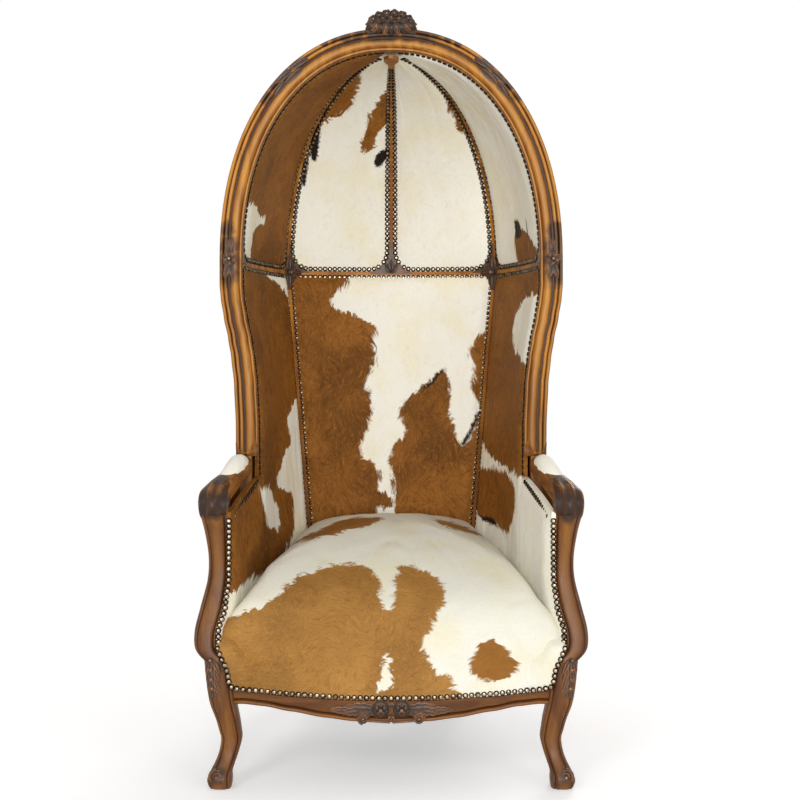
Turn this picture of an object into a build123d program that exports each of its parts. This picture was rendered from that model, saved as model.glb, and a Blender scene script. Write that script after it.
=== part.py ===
from build123d import *
import math
import os

os.makedirs("parts", exist_ok=True)

# Hall porter chair, millimetres, +Z up, front towards -Y, origin on the floor under the middle.

# Arch and dome: the arch is a superellipse, and the dome shrinks the band's plan towards its crown.
band_height = 1093.0
arch_inner_half_width = 331.0
arch_inner_rise = 469.0
arch_width = 49.0
arch_front_y = -160.0
arch_depth = 46.0
arch_bead_depth = 5.0
dome_power = 2.2

# Plan of the barrel at the band, and of the back at the seat.
corner_half_width = 262.0
corner_y = 253.0
back_middle_y = 303.0
side_bow = 14.0
seat_corner_half_width = 205.0
seat_corner_y = 223.0
seat_back_middle_y = 258.0
seat_level = 430.0

# Shell layers, counted outwards from the face that the sitter sees.
strip_width = 10.0
strip_depth = 11.0
flange_width = 38.0
flange_depth = 20.0
pad_edge = 6.0
pad_crown = 4.0
pad_swell = 14.0
cover_thickness = 4.0
cover_corner_reach = 16.0
fit_gap = 0.3
rebate_width = 24.0

# Front frame: legs, arm posts, arms and the foot of the uprights.
leg_middle_x = 356.0
leg_middle_y = -334.0
leg_top_height = 262.0
leg_width = 58.0
leg_depth = 54.0
leg_corner = 10.0
leg_sway = 25.0
arm_post_height = 298.0
arm_hand_rise = 28.0
arm_hand_reach = 14.0
arm_hand_inset = 10.0
arm_rise = 56.0
arm_width = 66.0
arm_thickness = 58.0
arm_corner = 9.0
arm_rear_inset = 33.5
arm_pad_width = 42.0
arm_pad_rise = 26.0
upright_draw = 36.5
upright_foot_rise = 20.0
upright_hidden_width = 32.0

# Seat frame.
rail_top_height = 255.0
rail_thickness = 30.0
side_rail_height = 70.0
front_rail_front_y = -346.0
front_rail_bow = 12.0
rail_end_inset = 34.0
rail_overlap = 23.0
rail_bottom_height = 137.0
rail_lift = 35.0
nail_line_height = 182.0
nail_line_lift = 28.0
side_rail_bend_x = 318.0
rear_leg_heel_y = 366.0
rear_leg_width = 40.0
rear_leg_splay = 9.0
corner_block_size = 62.0
corner_block_height = 40.0
crown_block_rise = 11.0
crown_block_reach = 82.0
crown_block_half_width = 62.0

# Stuffed arm panels.
arm_line_front_drop = 22.0
arm_line_rear_drop = 26.0
arm_side_setback = 10.0
arm_cover_setback = 48.0

# Seat.
seat_crown_height = 502.0
seat_peak_y = 23.0
seat_skin_setback = 1.0
seat_rear_gap = 7.0
seat_rear_inset = 10.0
seat_side_bow = 9.0
seat_back_bow = 20.0
spring_radius = 30.0
spring_wire = 2.0
spring_turns = 5
spring_height = 120.0
spring_spacing_x = 130.0
spring_spacing_y = 135.0
spring_middle_y = -42.0
spring_clear = 12.0
webbing_width = 50.0
webbing_thickness = 2.0
webbing_spacing = 78.0
cloth_thickness = 1.5

# Domed nails.
nail_radius = 5.2
nail_rise = 3.0
nail_shank = 1.1
nail_shank_length = 9.0
nail_pitch = 12.6
nail_inset = 5.5
stile_nail_rise = 22.0
post_nail_rise = 37.0

# Carvings.
crest_half_width = 60.0
crest_height = 56.0
crest_depth = 44.0
crest_overlap = 17.0
petal_lift = 4.0
carving_depth = 5.0
side_flower_radius = 17.0
side_flower_rise = 8.0
leaf_length = 34.0
leaf_width = 13.0
rosette_half_width = 14.0
rosette_half_height = 40.0
rosette_thickness = 14.0
rail_rose_radius = 15.0
rail_rose_spacing = 42.0
rail_rose_rise = 27.0
rail_leaf_length = 108.0
rail_scroll_radius = 8.0
knee_leaf_length = 88.0
knee_leaf_width = 34.0
knee_leaf_drop = 42.0
knee_leaf_shift = 8.0
arch_leaf_length = 100.0
arch_leaf_width = 17.0
arch_leaf_turn = 55.0

overrun = 400.0

# Hand-chosen shares. The moulding's section: share of the width, share of the bead's depth.
moulding_shares = [
    (0.0, 1.0), (0.09, 0.0), (0.42, 0.0), (0.5, 0.5), (0.6, 1.0),
    (0.63, 0.0), (0.82, 0.5), (0.91, 0.0), (1.0, 1.0),
]
# The upright from the band down: share of its height gone down, share of the draw inwards.
upright_shares = [
    (0.0, 0.0), (0.114, 0.0), (0.184, 0.068), (0.287, 0.26), (0.392, 0.52),
    (0.494, 0.712), (0.627, 0.877), (0.839, 0.986), (1.0, 1.0),
]
# Leg and arm post: sway outwards, sway backwards, share of height, of width, of depth, of corner.
leg_shares = [
    (-0.20, -0.08, 0.0, 0.76, 0.81, 0.9),
    (-0.16, -0.24, 0.053, 0.86, 0.96, 1.2),
    (-0.24, -0.20, 0.115, 0.79, 0.89, 1.2),
    (-0.72, 0.32, 0.237, 0.71, 0.78, 1.0),
    (-1.00, 0.56, 0.363, 0.74, 0.80, 1.0),
    (-0.76, 0.40, 0.515, 0.83, 0.87, 1.0),
    (-0.36, 0.16, 0.656, 0.93, 0.96, 1.0),
    (-0.16, 0.04, 0.80, 0.966, 1.0, 1.0),
    (0.0, 0.0, 1.0, 1.0, 1.0, 1.0),
]
post_shares = [
    (0.0, 0.0, 0.0, 1.0, 1.0, 1.0),
    (0.92, 0.08, 0.077, 0.86, 0.96, 1.0),
    (1.00, 0.28, 0.20, 0.86, 0.89, 1.0),
    (0.52, 0.64, 0.362, 0.90, 0.81, 1.0),
    (0.12, 0.92, 0.544, 0.79, 0.74, 0.9),
    (0.08, 1.00, 0.698, 0.76, 0.74, 0.9),
    (0.20, 0.80, 0.872, 0.90, 0.78, 0.9),
    (0.36, 0.52, 1.0, 1.07, 0.89, 0.9),
]
# Inner face of leg and arm post beside the stuffed panel: share of height, sway outwards.
post_face_shares = [
    (0.0, -1.2), (0.077, -0.16), (0.172, -0.08), (0.296, -0.6), (0.434, -0.84),
    (0.553, -0.84), (0.686, -0.88), (0.784, -0.92), (0.887, -1.0), (1.0, -1.12),
]
# Arm from hand to upright: share of length, of spread, of rise, of width, of thickness.
arm_shares = [
    (0.0, 0.97, 0.0, 0.91, 0.72),
    (0.084, 1.0, 0.036, 1.0, 1.0),
    (0.23, 0.895, 0.214, 0.85, 0.86),
    (0.424, 0.605, 0.41, 0.70, 0.69),
    (0.66, 0.263, 0.68, 0.64, 0.62),
    (0.87, 0.079, 0.893, 0.64, 0.62),
    (1.0, 0.0, 1.0, 0.64, 0.62),
]
# Pad on the arm: share of the arm's length, of its rise, of its spread, of the pad's width and rise.
arm_pad_shares = [
    (0.922, 1.107, 0.013, 0.81, 0.69),
    (0.791, 1.036, 0.079, 0.95, 0.92),
    (0.608, 0.857, 0.237, 1.0, 1.0),
    (0.424, 0.679, 0.474, 1.0, 0.92),
    (0.304, 0.607, 0.632, 0.86, 0.62),
]
# Front rail's lower edge and nail line: share of the reach from the middle, share of the lift.
rail_edge_shares = [
    (0.0, 0.0), (0.223, 0.057), (0.391, 0.257), (0.597, 0.6), (0.759, 0.886), (0.884, 1.0), (1.0, 0.943),
]
nail_edge_shares = [(0.0, 0.0), (0.261, 0.06), (0.58, 0.28), (0.84, 0.55), (1.0, 1.0)]
# Rear leg: share of height, of rake, of width.
rear_leg_shares = [(0.0, 1.0, 0.8), (0.3, 0.66, 0.84), (0.65, 0.26, 0.94), (1.0, 0.0, 1.0)]
# Seat slices: share of height, of front width, of front reach, of rear width, of rear reach.
seat_shares = [
    (0.0, 0.944, 0.980, 0.903, 0.938),
    (0.149, 0.997, 1.0, 0.923, 0.948),
    (0.27, 1.0, 1.0, 0.944, 0.959),
    (0.384, 0.955, 0.983, 0.964, 0.969),
    (0.497, 0.911, 0.938, 0.979, 0.984),
    (0.619, 0.855, 0.84, 0.99, 0.995),
    (0.732, 0.772, 0.699, 1.0, 1.0),
    (0.838, 0.635, 0.542, 0.964, 0.979),
    (0.919, 0.469, 0.39, 0.718, 0.793),
    (0.976, 0.273, 0.244, 0.41, 0.534),
    (1.0, 0.113, 0.121, 0.185, 0.223),
]
# Stuffing: fullness of the wall pads below the upright's foot and at the upright's own levels.
low_pad_shares = [(0.0, 0.2), (0.11, 0.5), (0.43, 1.0), (0.745, 1.0)]
high_pad_shares = [1.0, 1.0, 1.0, 1.0, 1.0, 0.9, 0.6, 0.35]

arch_middle_y = arch_front_y + arch_depth / 2
pole_y = arch_front_y + rebate_width
arch_back_y = arch_front_y + arch_depth
half_strip = strip_width / 2
half_flange = flange_width / 2
rebate_depth = pad_edge + fit_gap
pad_clear = half_strip + fit_gap
cover_level = strip_depth + flange_depth + fit_gap
corner_cover_level = cover_level + cover_corner_reach
band_top = band_height + half_flange
arm_hand_height = leg_top_height + arm_post_height + arm_hand_rise
arm_rear_height = arm_hand_height + arm_rise
arm_line_front_height = arm_hand_height - arm_line_front_drop
arm_line_rear_height = arm_rear_height - arm_line_rear_drop
upright_bottom_height = arm_rear_height + upright_foot_rise
arm_front_y = leg_middle_y - arm_hand_reach
arm_end_y = arch_middle_y - (arch_depth - rebate_depth) / 2 - fit_gap
arm_length = arm_end_y - arm_front_y
arm_rear_x = arch_inner_half_width - upright_draw + arm_rear_inset
arm_spread = leg_middle_x + arm_hand_inset - arm_rear_x
arm_side_front_y = leg_middle_y + arm_side_setback
arm_cover_front_y = leg_middle_y + arm_cover_setback
front_rail_half_span = leg_middle_x - rail_end_inset
rail_half_length = front_rail_half_span + rail_thickness / 2
rail_reach = front_rail_half_span + rail_overlap
pad_bottom = rail_top_height + fit_gap
pad_top = band_height - pad_clear
spring_base_height = rail_top_height - side_rail_height + webbing_thickness
spring_pocket_top = spring_base_height + spring_height + cloth_thickness + fit_gap * 2
spring_pocket_half_width = spring_spacing_x + spring_radius + spring_clear
spring_pocket_half_depth = spring_spacing_y + spring_radius + spring_clear
seat_front_half_width = rail_half_length
seat_front_y = front_rail_front_y + seat_skin_setback
seat_rear_half_width = seat_corner_half_width - seat_rear_inset
seat_rear_y = seat_corner_y - seat_rear_gap
crest_bottom_height = band_height + arch_inner_rise + arch_width - crest_overlap


def shrink(turn):
    """Plan share left at a turn of the dome, from 1 at the band to 0 at the crown."""
    return math.cos(math.radians(turn)) ** (2 / dome_power)


def climb(turn):
    """Share of the rise reached at a turn of the dome."""
    return math.sin(math.radians(turn)) ** (2 / dome_power)


def turn_at_climb(share):
    """The turn of the dome where it has climbed a share of its rise."""
    return math.degrees(math.asin(share ** (dome_power / 2)))


def pole_plan(x, y):
    """A plan point as its distance from the dome's upright axis and its direction from it."""
    reach = math.hypot(x, y - pole_y)
    return reach, x / reach, (y - pole_y) / reach


def arc_point(start, middle, end, share):
    """A plan point at a share of the arc through three plan points."""
    edge = ThreePointArc(start, middle, end)
    at = edge @ share
    return at.X, at.Y


def mirrored(solid):
    """The other side's copy of a left-hand or right-hand piece."""
    return mirror(solid, about=Plane.YZ)


def closed_face(points):
    """A flat face from its corners in order."""
    corners = [Vector(*p) for p in points]
    return Face(Wire.make_polygon(corners, close=True))


def skin_face(inner, outer, knee=None):
    """A face between two curves, each three points; a knee starts the outer one with a straight run."""
    outer_start = knee if knee else outer[0]
    lines = [
        ThreePointArc(*inner),
        Line(inner[-1], outer[-1]),
        ThreePointArc(outer[-1], outer[1], outer_start),
    ]
    if knee:
        lines.append(Line(knee, outer[0]))
    lines.append(Line(outer[0], inner[0]))
    return Face(Wire(lines))


def save(name, shape):
    """Write one node's file."""
    pieces = shape.solids()
    kept = pieces[0] if len(pieces) == 1 else Compound(pieces)
    export_step(kept, "parts/" + name + ".step")
    print(name, len(pieces), round(sum(p.volume for p in pieces) / 1000.0, 1))


def save_pair(name, right):
    """Write the right-hand piece and its mirror image."""
    save(name + "_right", right)
    save(name + "_left", mirrored(right))


def bar(stations):
    """A bar through level sections: each station is x, y, z, width, depth, corner radius."""
    faces = []
    for x, y, z, width, depth, corner in stations:
        sketch = RectangleRounded(width, depth, corner)
        faces.append(Plane((x, y, z)) * sketch)
    return loft([f.face() for f in faces])


# Plan lines of the barrel. Each is three points: two ends and the arc's middle.

def side_plan(front_x, front_y, rear_x, rear_y, bow):
    """The side wall's arc from the front edge to the back corner, bowed outwards."""
    mid_x = (front_x + rear_x) / 2
    mid_y = (front_y + rear_y) / 2
    length = math.hypot(rear_x - front_x, rear_y - front_y)
    out_x = (rear_y - front_y) / length
    out_y = (front_x - rear_x) / length
    middle = (mid_x + out_x * bow, mid_y + out_y * bow)
    return (front_x, front_y), middle, (rear_x, rear_y)


band_side = side_plan(arch_inner_half_width, pole_y, corner_half_width, corner_y, side_bow)
band_back = ((-corner_half_width, corner_y), (0, back_middle_y), (corner_half_width, corner_y))


def level_share(z):
    """How far a level lies from the seat up to the band."""
    return (z - seat_level) / (band_height - seat_level)


def corner_at(z):
    """The back corner's plan point at a level below the band."""
    share = level_share(z)
    x = seat_corner_half_width + (corner_half_width - seat_corner_half_width) * share
    y = seat_corner_y + (corner_y - seat_corner_y) * share
    return x, y


def back_middle_at(z):
    """The back's middle plan point at a level below the band."""
    return seat_back_middle_y + (back_middle_y - seat_back_middle_y) * level_share(z)


# The upright's inner line: heights from the band down, and how far in of the arch it has drawn.
upright_line = []
for down_share, draw_share in upright_shares:
    height = band_height - (band_height - upright_bottom_height) * down_share
    upright_line.append((height, upright_draw * draw_share))


def upright_inner(z):
    """The inner half width between the uprights at a level."""
    for (high, drawn_high), (low, drawn_low) in zip(upright_line, upright_line[1:]):
        if z >= low:
            share = (high - z) / (high - low)
            return arch_inner_half_width - drawn_high - (drawn_low - drawn_high) * share
    return arch_inner_half_width - upright_line[-1][1]


# Show frame.

def moulded_section(at):
    """The show wood's section as corners, from a function that gives a point at a width and a depth."""
    outline = [(arch_width * across, arch_bead_depth * deep) for across, deep in moulding_shares]
    outline += [
        (arch_width, arch_depth - arch_bead_depth),
        (arch_width - arch_bead_depth, arch_depth),
        (rebate_depth, arch_depth),
        (rebate_depth, rebate_width),
        (0, rebate_width),
    ]
    return closed_face([at(across, deep) for across, deep in outline])


def make_arch():
    """One half of the arch, from the band to the seam under the crest."""
    sections = []
    for turn in (0, 12, 24, 36, 48, 60, 70, 80, 90):
        c = shrink(turn) if turn < 90 else 0.0
        s = climb(turn)

        def at(across, deep, c=c, s=s):
            x = (arch_inner_half_width + across) * c
            z = band_height + (arch_inner_rise + across) * s
            return x, arch_front_y + deep, z

        sections.append(moulded_section(at))
    return loft(sections)


def make_upright():
    """The tall stile from the arm up to the band, with its plain foot down to the side rail."""
    sections = []
    for z, drawn in upright_line:
        inner = arch_inner_half_width - drawn

        def at(across, deep, inner=inner, z=z):
            return inner + across, arch_front_y + deep, z

        sections.append(moulded_section(at))
    show = loft(sections)
    inner = upright_inner(0.0) + rebate_depth + cover_thickness * 2
    middle = inner + upright_hidden_width / 2
    depth = arch_depth - rebate_depth
    hidden = bar([
        (middle, arch_middle_y, rail_top_height, upright_hidden_width, depth, fit_gap),
        (middle, arch_middle_y, upright_bottom_height, upright_hidden_width, depth, fit_gap),
    ])
    return show + hidden


def side_rail_x(y):
    """Middle line of the side rail in plan, bent outwards under the upright."""
    stations = [
        (leg_middle_y, front_rail_half_span + rail_thickness),
        (pole_y, side_rail_bend_x),
        (seat_corner_y, seat_corner_half_width + rail_thickness / 2),
    ]
    near, far = stations[:2] if y < pole_y else stations[1:]
    share = (y - near[0]) / (far[0] - near[0])
    return near[1] + (far[1] - near[1]) * share


def swayed(shares, bottom, height):
    """A leg's or arm post's bar from its table of shares, standing on a level."""
    stations = []
    for out_share, back_share, height_share, width_share, depth_share, corner_share in shares:
        stations.append((
            leg_middle_x + leg_sway * out_share,
            leg_middle_y + leg_sway * back_share,
            bottom + height * height_share,
            leg_width * width_share,
            leg_depth * depth_share,
            leg_corner * corner_share,
        ))
    return bar(stations)


def make_front_leg():
    """Cabriole leg: full knee, slim ankle, turned-out toe."""
    return swayed(leg_shares, 0.0, leg_top_height)


def make_arm_post():
    """Arm post: swells over the knee, draws in, and spreads under the hand."""
    return swayed(post_shares, leg_top_height, arm_post_height)


def make_armrest():
    """The arm from its fluted hand back to the upright."""
    faces = []
    for length_share, spread_share, rise_share, width_share, thick_share in arm_shares:
        origin = (
            arm_rear_x + arm_spread * spread_share,
            arm_front_y + arm_length * length_share,
            arm_hand_height + arm_rise * rise_share,
        )
        place = Plane(origin=origin, x_dir=(1, 0, 0), z_dir=(0, 1, 0))
        section = RectangleRounded(arm_width * width_share, arm_thickness * thick_share, arm_corner)
        faces.append((place * section).face())
    return loft(faces)


arch_right = make_arch()
upright_right = make_upright()
leg_right = make_front_leg()
arm_post_right = make_arm_post()
armrest_right = make_armrest()


def tee(place, strip_half, flange_half):
    """The stile, rib and band section: a show strip on a flange that takes the nails."""
    deep = strip_depth + flange_depth
    outline = [
        (-strip_half, 0),
        (strip_half, 0),
        (strip_half, strip_depth),
        (flange_half, strip_depth),
        (flange_half, deep),
        (-flange_half, deep),
        (-flange_half, strip_depth),
        (-strip_half, strip_depth),
    ]
    return closed_face([place(across, out) for across, out in outline])


def post_place(z):
    """Where a width and a depth of the back stile's section fall at a level."""
    x, y = corner_at(z)
    reach, dir_x, dir_y = pole_plan(x, y)

    def place(across, out):
        return x + dir_x * out + dir_y * across, y + dir_y * out - dir_x * across, z

    return place


def make_rear_post():
    """Back stile and raked rear leg in one piece."""
    stile = loft([
        tee(post_place(rail_top_height), half_strip, half_flange),
        tee(post_place(band_top), half_strip, half_flange),
    ], ruled=True)
    x, y, _ = post_place(rail_top_height)(0, (strip_depth + flange_depth) / 2)
    drop = rear_leg_heel_y - rear_leg_width / 2 - y
    stations = []
    for height_share, rake_share, width_share in rear_leg_shares:
        width = rear_leg_width * width_share
        z = rail_top_height * height_share
        middle_x = x + rear_leg_splay * rake_share
        stations.append((middle_x, y + drop * rake_share, z, width, width, pad_edge))
    return stile + bar(stations)


def level_slab(points, low, high):
    """A plate between two levels with a straight-sided plan."""
    face = closed_face([(x, y, low) for x, y in points])
    return extrude(face, amount=high - low, dir=(0, 0, 1))


def make_side_rail():
    """Side seat rail from the leg's block to the back stile."""
    half = rail_thickness / 2
    front_y = leg_middle_y + rail_thickness / 2
    rear_y = seat_corner_y + rail_thickness / 2
    plan = [
        (side_rail_x(front_y) - half, front_y),
        (side_rail_x(front_y) + half, front_y),
        (side_rail_x(pole_y) + half, pole_y),
        (side_rail_x(rear_y) + half, rear_y),
        (side_rail_x(rear_y) - half, rear_y),
        (side_rail_x(pole_y) - half, pole_y),
    ]
    rail = level_slab(plan, rail_top_height - side_rail_height, rail_top_height)
    rail = rail - leg_right - arm_post_right - rear_post_right - front_rail
    return max(rail.solids(), key=lambda piece: piece.volume)


rail_edge = [(rail_reach * out, rail_bottom_height + rail_lift * up) for out, up in rail_edge_shares]
nail_edge = [(rail_reach * out, nail_line_height + nail_line_lift * up) for out, up in nail_edge_shares]


def both_sides(half_line):
    """A line drawn from the middle outwards, carried over to both sides."""
    left = [(-x, z) for x, z in reversed(half_line[1:])]
    return left + half_line


def rail_elevation(half_line, top):
    """Everything between a curved lower line and a straight top, as a block through the rail."""
    line = [(x, front_rail_front_y - overrun / 2, z) for x, z in both_sides(half_line)]
    low = Spline(*line)
    start, end = line[0], line[-1]
    top_start = (start[0], start[1], top)
    top_end = (end[0], end[1], top)
    face = Face(Wire([low, Line(end, top_end), Line(top_end, top_start), Line(top_start, start)]))
    return extrude(face, amount=overrun, dir=(0, 1, 0))


def rail_plan(thickness):
    """The front rail's bowed plan as an upright block, from its face back by a thickness."""
    half = rail_half_length
    front = front_rail_front_y
    rear = front + thickness
    face = skin_face(
        [(-half, front, 0), (0, front - front_rail_bow, 0), (half, front, 0)],
        [(-half, rear, 0), (0, rear - front_rail_bow, 0), (half, rear, 0)],
    )
    return extrude(face, amount=rail_top_height + rail_lift * 2, dir=(0, 0, 1))


def make_front_rail():
    """Serpentine front rail, set back above the nail line for the seat's cover."""
    rail = rail_elevation(rail_edge, rail_top_height) & rail_plan(rail_thickness)
    rebate = rail_elevation(nail_edge, rail_top_height + overrun) & rail_plan(rebate_depth)
    return rail - rebate - leg_right - arm_post_right - mirrored(leg_right) - mirrored(arm_post_right)


def make_back_rail():
    """Back seat rail between the stiles."""
    y = corner_at(rail_top_height)[1]
    half = corner_at(rail_top_height)[0]
    plan = [(-half, y), (half, y), (half, y + rail_thickness), (-half, y + rail_thickness)]
    rail = level_slab(plan, rail_top_height - side_rail_height, rail_top_height)
    return rail - rear_post_right - mirrored(rear_post_right)


def make_corner_blocks():
    """Glue blocks in the four inner corners of the seat frame."""
    low = rail_top_height - side_rail_height / 2 - corner_block_height / 2
    high = low + corner_block_height
    inner = rail_thickness / 2 + fit_gap
    front_y = front_rail_front_y + rail_thickness + fit_gap
    rear_y = corner_at(rail_top_height)[1] - fit_gap
    size = corner_block_size
    front = [
        (side_rail_x(front_y) - inner, front_y),
        (side_rail_x(front_y) - inner - size, front_y),
        (side_rail_x(front_y + size) - inner, front_y + size),
    ]
    rear = [
        (side_rail_x(rear_y) - inner, rear_y),
        (side_rail_x(rear_y) - inner - size, rear_y),
        (side_rail_x(rear_y - size) - inner, rear_y - size),
    ]
    blocks = []
    for plan in (front, rear):
        block = level_slab(plan, low, high) - leg_right - rear_post_right
        solid = max(block.solids(), key=lambda piece: piece.volume)
        blocks += [solid, mirrored(solid).solids()[0]]
    return Compound(blocks)


def rib_place(plan_x, plan_y, turn):
    """Where a width and a depth of a dome rib's section fall at a turn."""
    reach, dir_x, dir_y = pole_plan(plan_x, plan_y)
    c = shrink(turn)
    s = climb(turn)

    def place(across, out):
        r = (reach + out) * c
        x = dir_x * r + dir_y * across
        y = pole_y + dir_y * r - dir_x * across
        return x, y, band_height + (arch_inner_rise + out) * s

    return place


rib_top_turn = 84.0
rib_foot_turn = turn_at_climb((half_flange + fit_gap) / arch_inner_rise)
dome_foot_turn = turn_at_climb(pad_clear / arch_inner_rise)
rib_turns = [rib_foot_turn, 15.0, 30.0, 45.0, 58.0, 70.0, 78.0, rib_top_turn]


def make_crown_block():
    """Half-round block behind the arch's crown, where the ribs come together."""
    low = band_height + arch_inner_rise + strip_depth + fit_gap
    edge = arch_back_y
    side = crown_block_half_width
    curve = Spline((-side, edge, low), (0, edge + crown_block_reach, low), (side, edge, low),
                   tangents=[(0, 1, 0), (0, -1, 0)])
    face = Face(Wire([curve, Line((side, edge, low), (-side, edge, low))]))
    return extrude(face, amount=crown_block_rise, dir=(0, 0, 1))


def make_rib(plan_x, plan_y):
    """One dome rib from the band to the crown block."""
    sections = []
    for turn in rib_turns:
        c = shrink(turn)
        sections.append(tee(rib_place(plan_x, plan_y, turn), half_strip * c, half_flange * math.sqrt(c)))
    rib = loft(sections) - crown_block
    return max(rib.solids(), key=lambda piece: piece.volume)


def make_band(plan):
    """A length of the band that rings the barrel between back and dome."""
    path = ThreePointArc(*[(x, y, band_height) for x, y in plan])
    start = path @ 0
    along = path % 0
    side_x, side_y = along.Y, -along.X

    def place(across, out):
        return start.X + side_x * out, start.Y + side_y * out, band_height + across

    band = sweep(tee(place, half_strip, half_flange), path)
    keep = level_slab([
        (-overrun, arch_back_y), (overrun, arch_back_y), (overrun, overrun), (-overrun, overrun),
    ], band_height - overrun, band_height + overrun)
    band = (band & keep) - rear_post_right - mirrored(rear_post_right)
    return max(band.solids(), key=lambda piece: piece.volume)


rear_post_right = make_rear_post()
crown_block = make_crown_block()
rib_right = make_rib(corner_half_width, corner_y)
front_rail = make_front_rail()
side_rail_right = make_side_rail()
band_side_right = make_band(band_side)
band_back_piece = make_band((band_back[2], band_back[1], band_back[0]))

save_pair("arch", arch_right)
save_pair("upright", upright_right)
save_pair("front_leg", leg_right)
save_pair("arm_post", arm_post_right)
save_pair("armrest", armrest_right)
save_pair("rear_post", rear_post_right)
save_pair("seat_rail_side", side_rail_right)
save("seat_rail_front", front_rail)
save("seat_rail_back", make_back_rail())
save("corner_blocks", make_corner_blocks())
save("crown_block", crown_block)
save_pair("dome_rib", rib_right)
save("dome_rib_center", make_rib(0.0, back_middle_y))
save_pair("band_side", band_side_right)
save("band_back", band_back_piece)

# Upholstery: pads inside, covers outside. Swell shares run from the lower edge to the upper one.

dome_swell_shares = [
    (dome_foot_turn, 0.0), (14.0, 0.6), (32.0, 1.0), (50.0, 0.85), (66.0, 0.4), (77.0, 0.15), (84.0, 0.0),
]
cover_turns = [0.0, 15.0, 32.0, 50.0, 66.0, 78.0, 88.0]


def meridian_face(plan_point, inner_shares, inner_depth, outer_shares, outer_depth, base_depth):
    """An upright slice of a dome skin, from its foot to near the crown, between two depths."""
    inner = []
    outer = []
    for turn, share in inner_shares:
        inner.append(rib_place(plan_point[0], plan_point[1], turn)(0, inner_depth * share))
    for turn, share in outer_shares:
        place = rib_place(plan_point[0], plan_point[1], turn)
        outer.append(place(0, base_depth + outer_depth * share))
    lines = [
        Spline(*inner),
        Line(inner[-1], outer[-1]),
        Spline(*reversed(outer)),
        Line(outer[0], inner[0]),
    ]
    return Face(Wire(lines))


def dome_pad(plan_points, middle_shares):
    """A stuffed dome panel through slices at plan points, fullest where its share is 1."""
    faces = []
    for point, middle_share in zip(plan_points, middle_shares):
        inner = -pad_crown * middle_share
        swell = pad_swell * middle_share
        faces.append(meridian_face(point, dome_swell_shares, inner, dome_swell_shares, swell, pad_edge))
    return loft(faces)


def dome_cover(plan_points, reach_shares):
    """An outer dome panel of even thickness, carried further out where it turns round a rib."""
    even = [(turn, 1.0) for turn in cover_turns]
    faces = []
    for point, reach_share in zip(plan_points, reach_shares):
        level = cover_level + cover_corner_reach * reach_share
        faces.append(meridian_face(point, even, level, even, cover_thickness, level))
    cover = loft(faces)
    keep = level_slab([
        (-overrun * 2, arch_back_y + fit_gap), (overrun * 2, arch_back_y + fit_gap),
        (overrun * 2, overrun * 2), (-overrun * 2, overrun * 2),
    ], band_height - overrun, band_height + overrun * 2)
    return cover & keep


def plan_spread(plan, start, end, shares):
    """Plan points from a start to an end, with arc points between them at the shares."""
    between = [arc_point(plan[0], plan[1], plan[2], share) for share in shares]
    return [start] + between + [end]


def flat(point):
    """A point's plan place."""
    return point[0], point[1]


corner_right = (corner_half_width, corner_y)
front_right = (arch_inner_half_width, pole_y)
wing_edge = flat(post_place(band_height)(pad_clear, 0))
back_edge = flat(post_place(band_height)(-pad_clear, 0))
middle_edge = (pad_clear, back_middle_y)
side_shares = (0.25, 0.5, 0.75)
back_shares = (0.66, 0.83)
rebate_share = 0.07
side_points = plan_spread(band_side, front_right, wing_edge, (rebate_share,) + side_shares)
back_points = plan_spread(band_back, middle_edge, back_edge, back_shares)
side_cover_points = plan_spread(band_side, front_right, corner_right, side_shares)
back_cover_points = plan_spread(band_back, (0.0, back_middle_y), corner_right, back_shares)

pad_levels = []
for height_share, full_share in low_pad_shares:
    pad_levels.append((pad_bottom + (upright_bottom_height - pad_bottom) * height_share, full_share))
for (height, _), full_share in zip(reversed(upright_line[1:]), high_pad_shares):
    pad_levels.append((height, full_share))
pad_levels.append((pad_top, 0.0))


def pushed(point, reference_start, reference_end, amount):
    """A plan point moved squarely outwards from a line, seen from the chair's inside."""
    length = math.hypot(reference_end[0] - reference_start[0], reference_end[1] - reference_start[1])
    out_x = (reference_end[1] - reference_start[1]) / length
    out_y = (reference_start[0] - reference_end[0]) / length
    return point[0] + out_x * amount, point[1] + out_y * amount


def raised(points, z):
    """Plan points at a level."""
    return [(x, y, z) for x, y in points]


def make_back_pad():
    """The stuffed back between the stiles."""
    faces = []
    for z, share in pad_levels:
        right = flat(post_place(z)(-pad_clear, 0))
        right_out = flat(post_place(z)(-pad_clear, pad_edge))
        middle = back_middle_at(z)
        inner = [(-right[0], right[1]), (0, middle - pad_crown * 2 * share), right]
        outer = [(-right_out[0], right_out[1]), (0, middle + pad_edge + pad_swell * share), right_out]
        faces.append(skin_face(raised(inner, z), raised(outer, z)))
    return loft(faces)


def make_wing_pad():
    """The stuffed wing between upright and back stile."""
    faces = []
    for z, share in pad_levels:
        front = (upright_inner(z), pole_y)
        rear = flat(post_place(z)(pad_clear, 0))
        rear_out = flat(post_place(z)(pad_clear, pad_edge))
        middle = side_plan(front[0], front[1], rear[0], rear[1], side_bow)[1]
        inner_middle = pushed(middle, front, rear, -pad_crown * share)
        outer_middle = pushed(middle, front, rear, pad_edge + pad_swell * share)
        inner = [front, inner_middle, rear]
        outer = [(front[0] + pad_edge, front[1]), outer_middle, rear_out]
        knee = (front[0] + pad_edge, arch_back_y + fit_gap, z)
        faces.append(skin_face(raised(inner, z), raised(outer, z), knee))
    return loft(faces)


# Inner face of the arm post, level by level.
post_inner_line = []
for height_share, out_share in post_face_shares:
    height = pad_bottom + (arm_rear_height - pad_bottom) * height_share
    post_inner_line.append((height, leg_middle_x + leg_sway * out_share))


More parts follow.
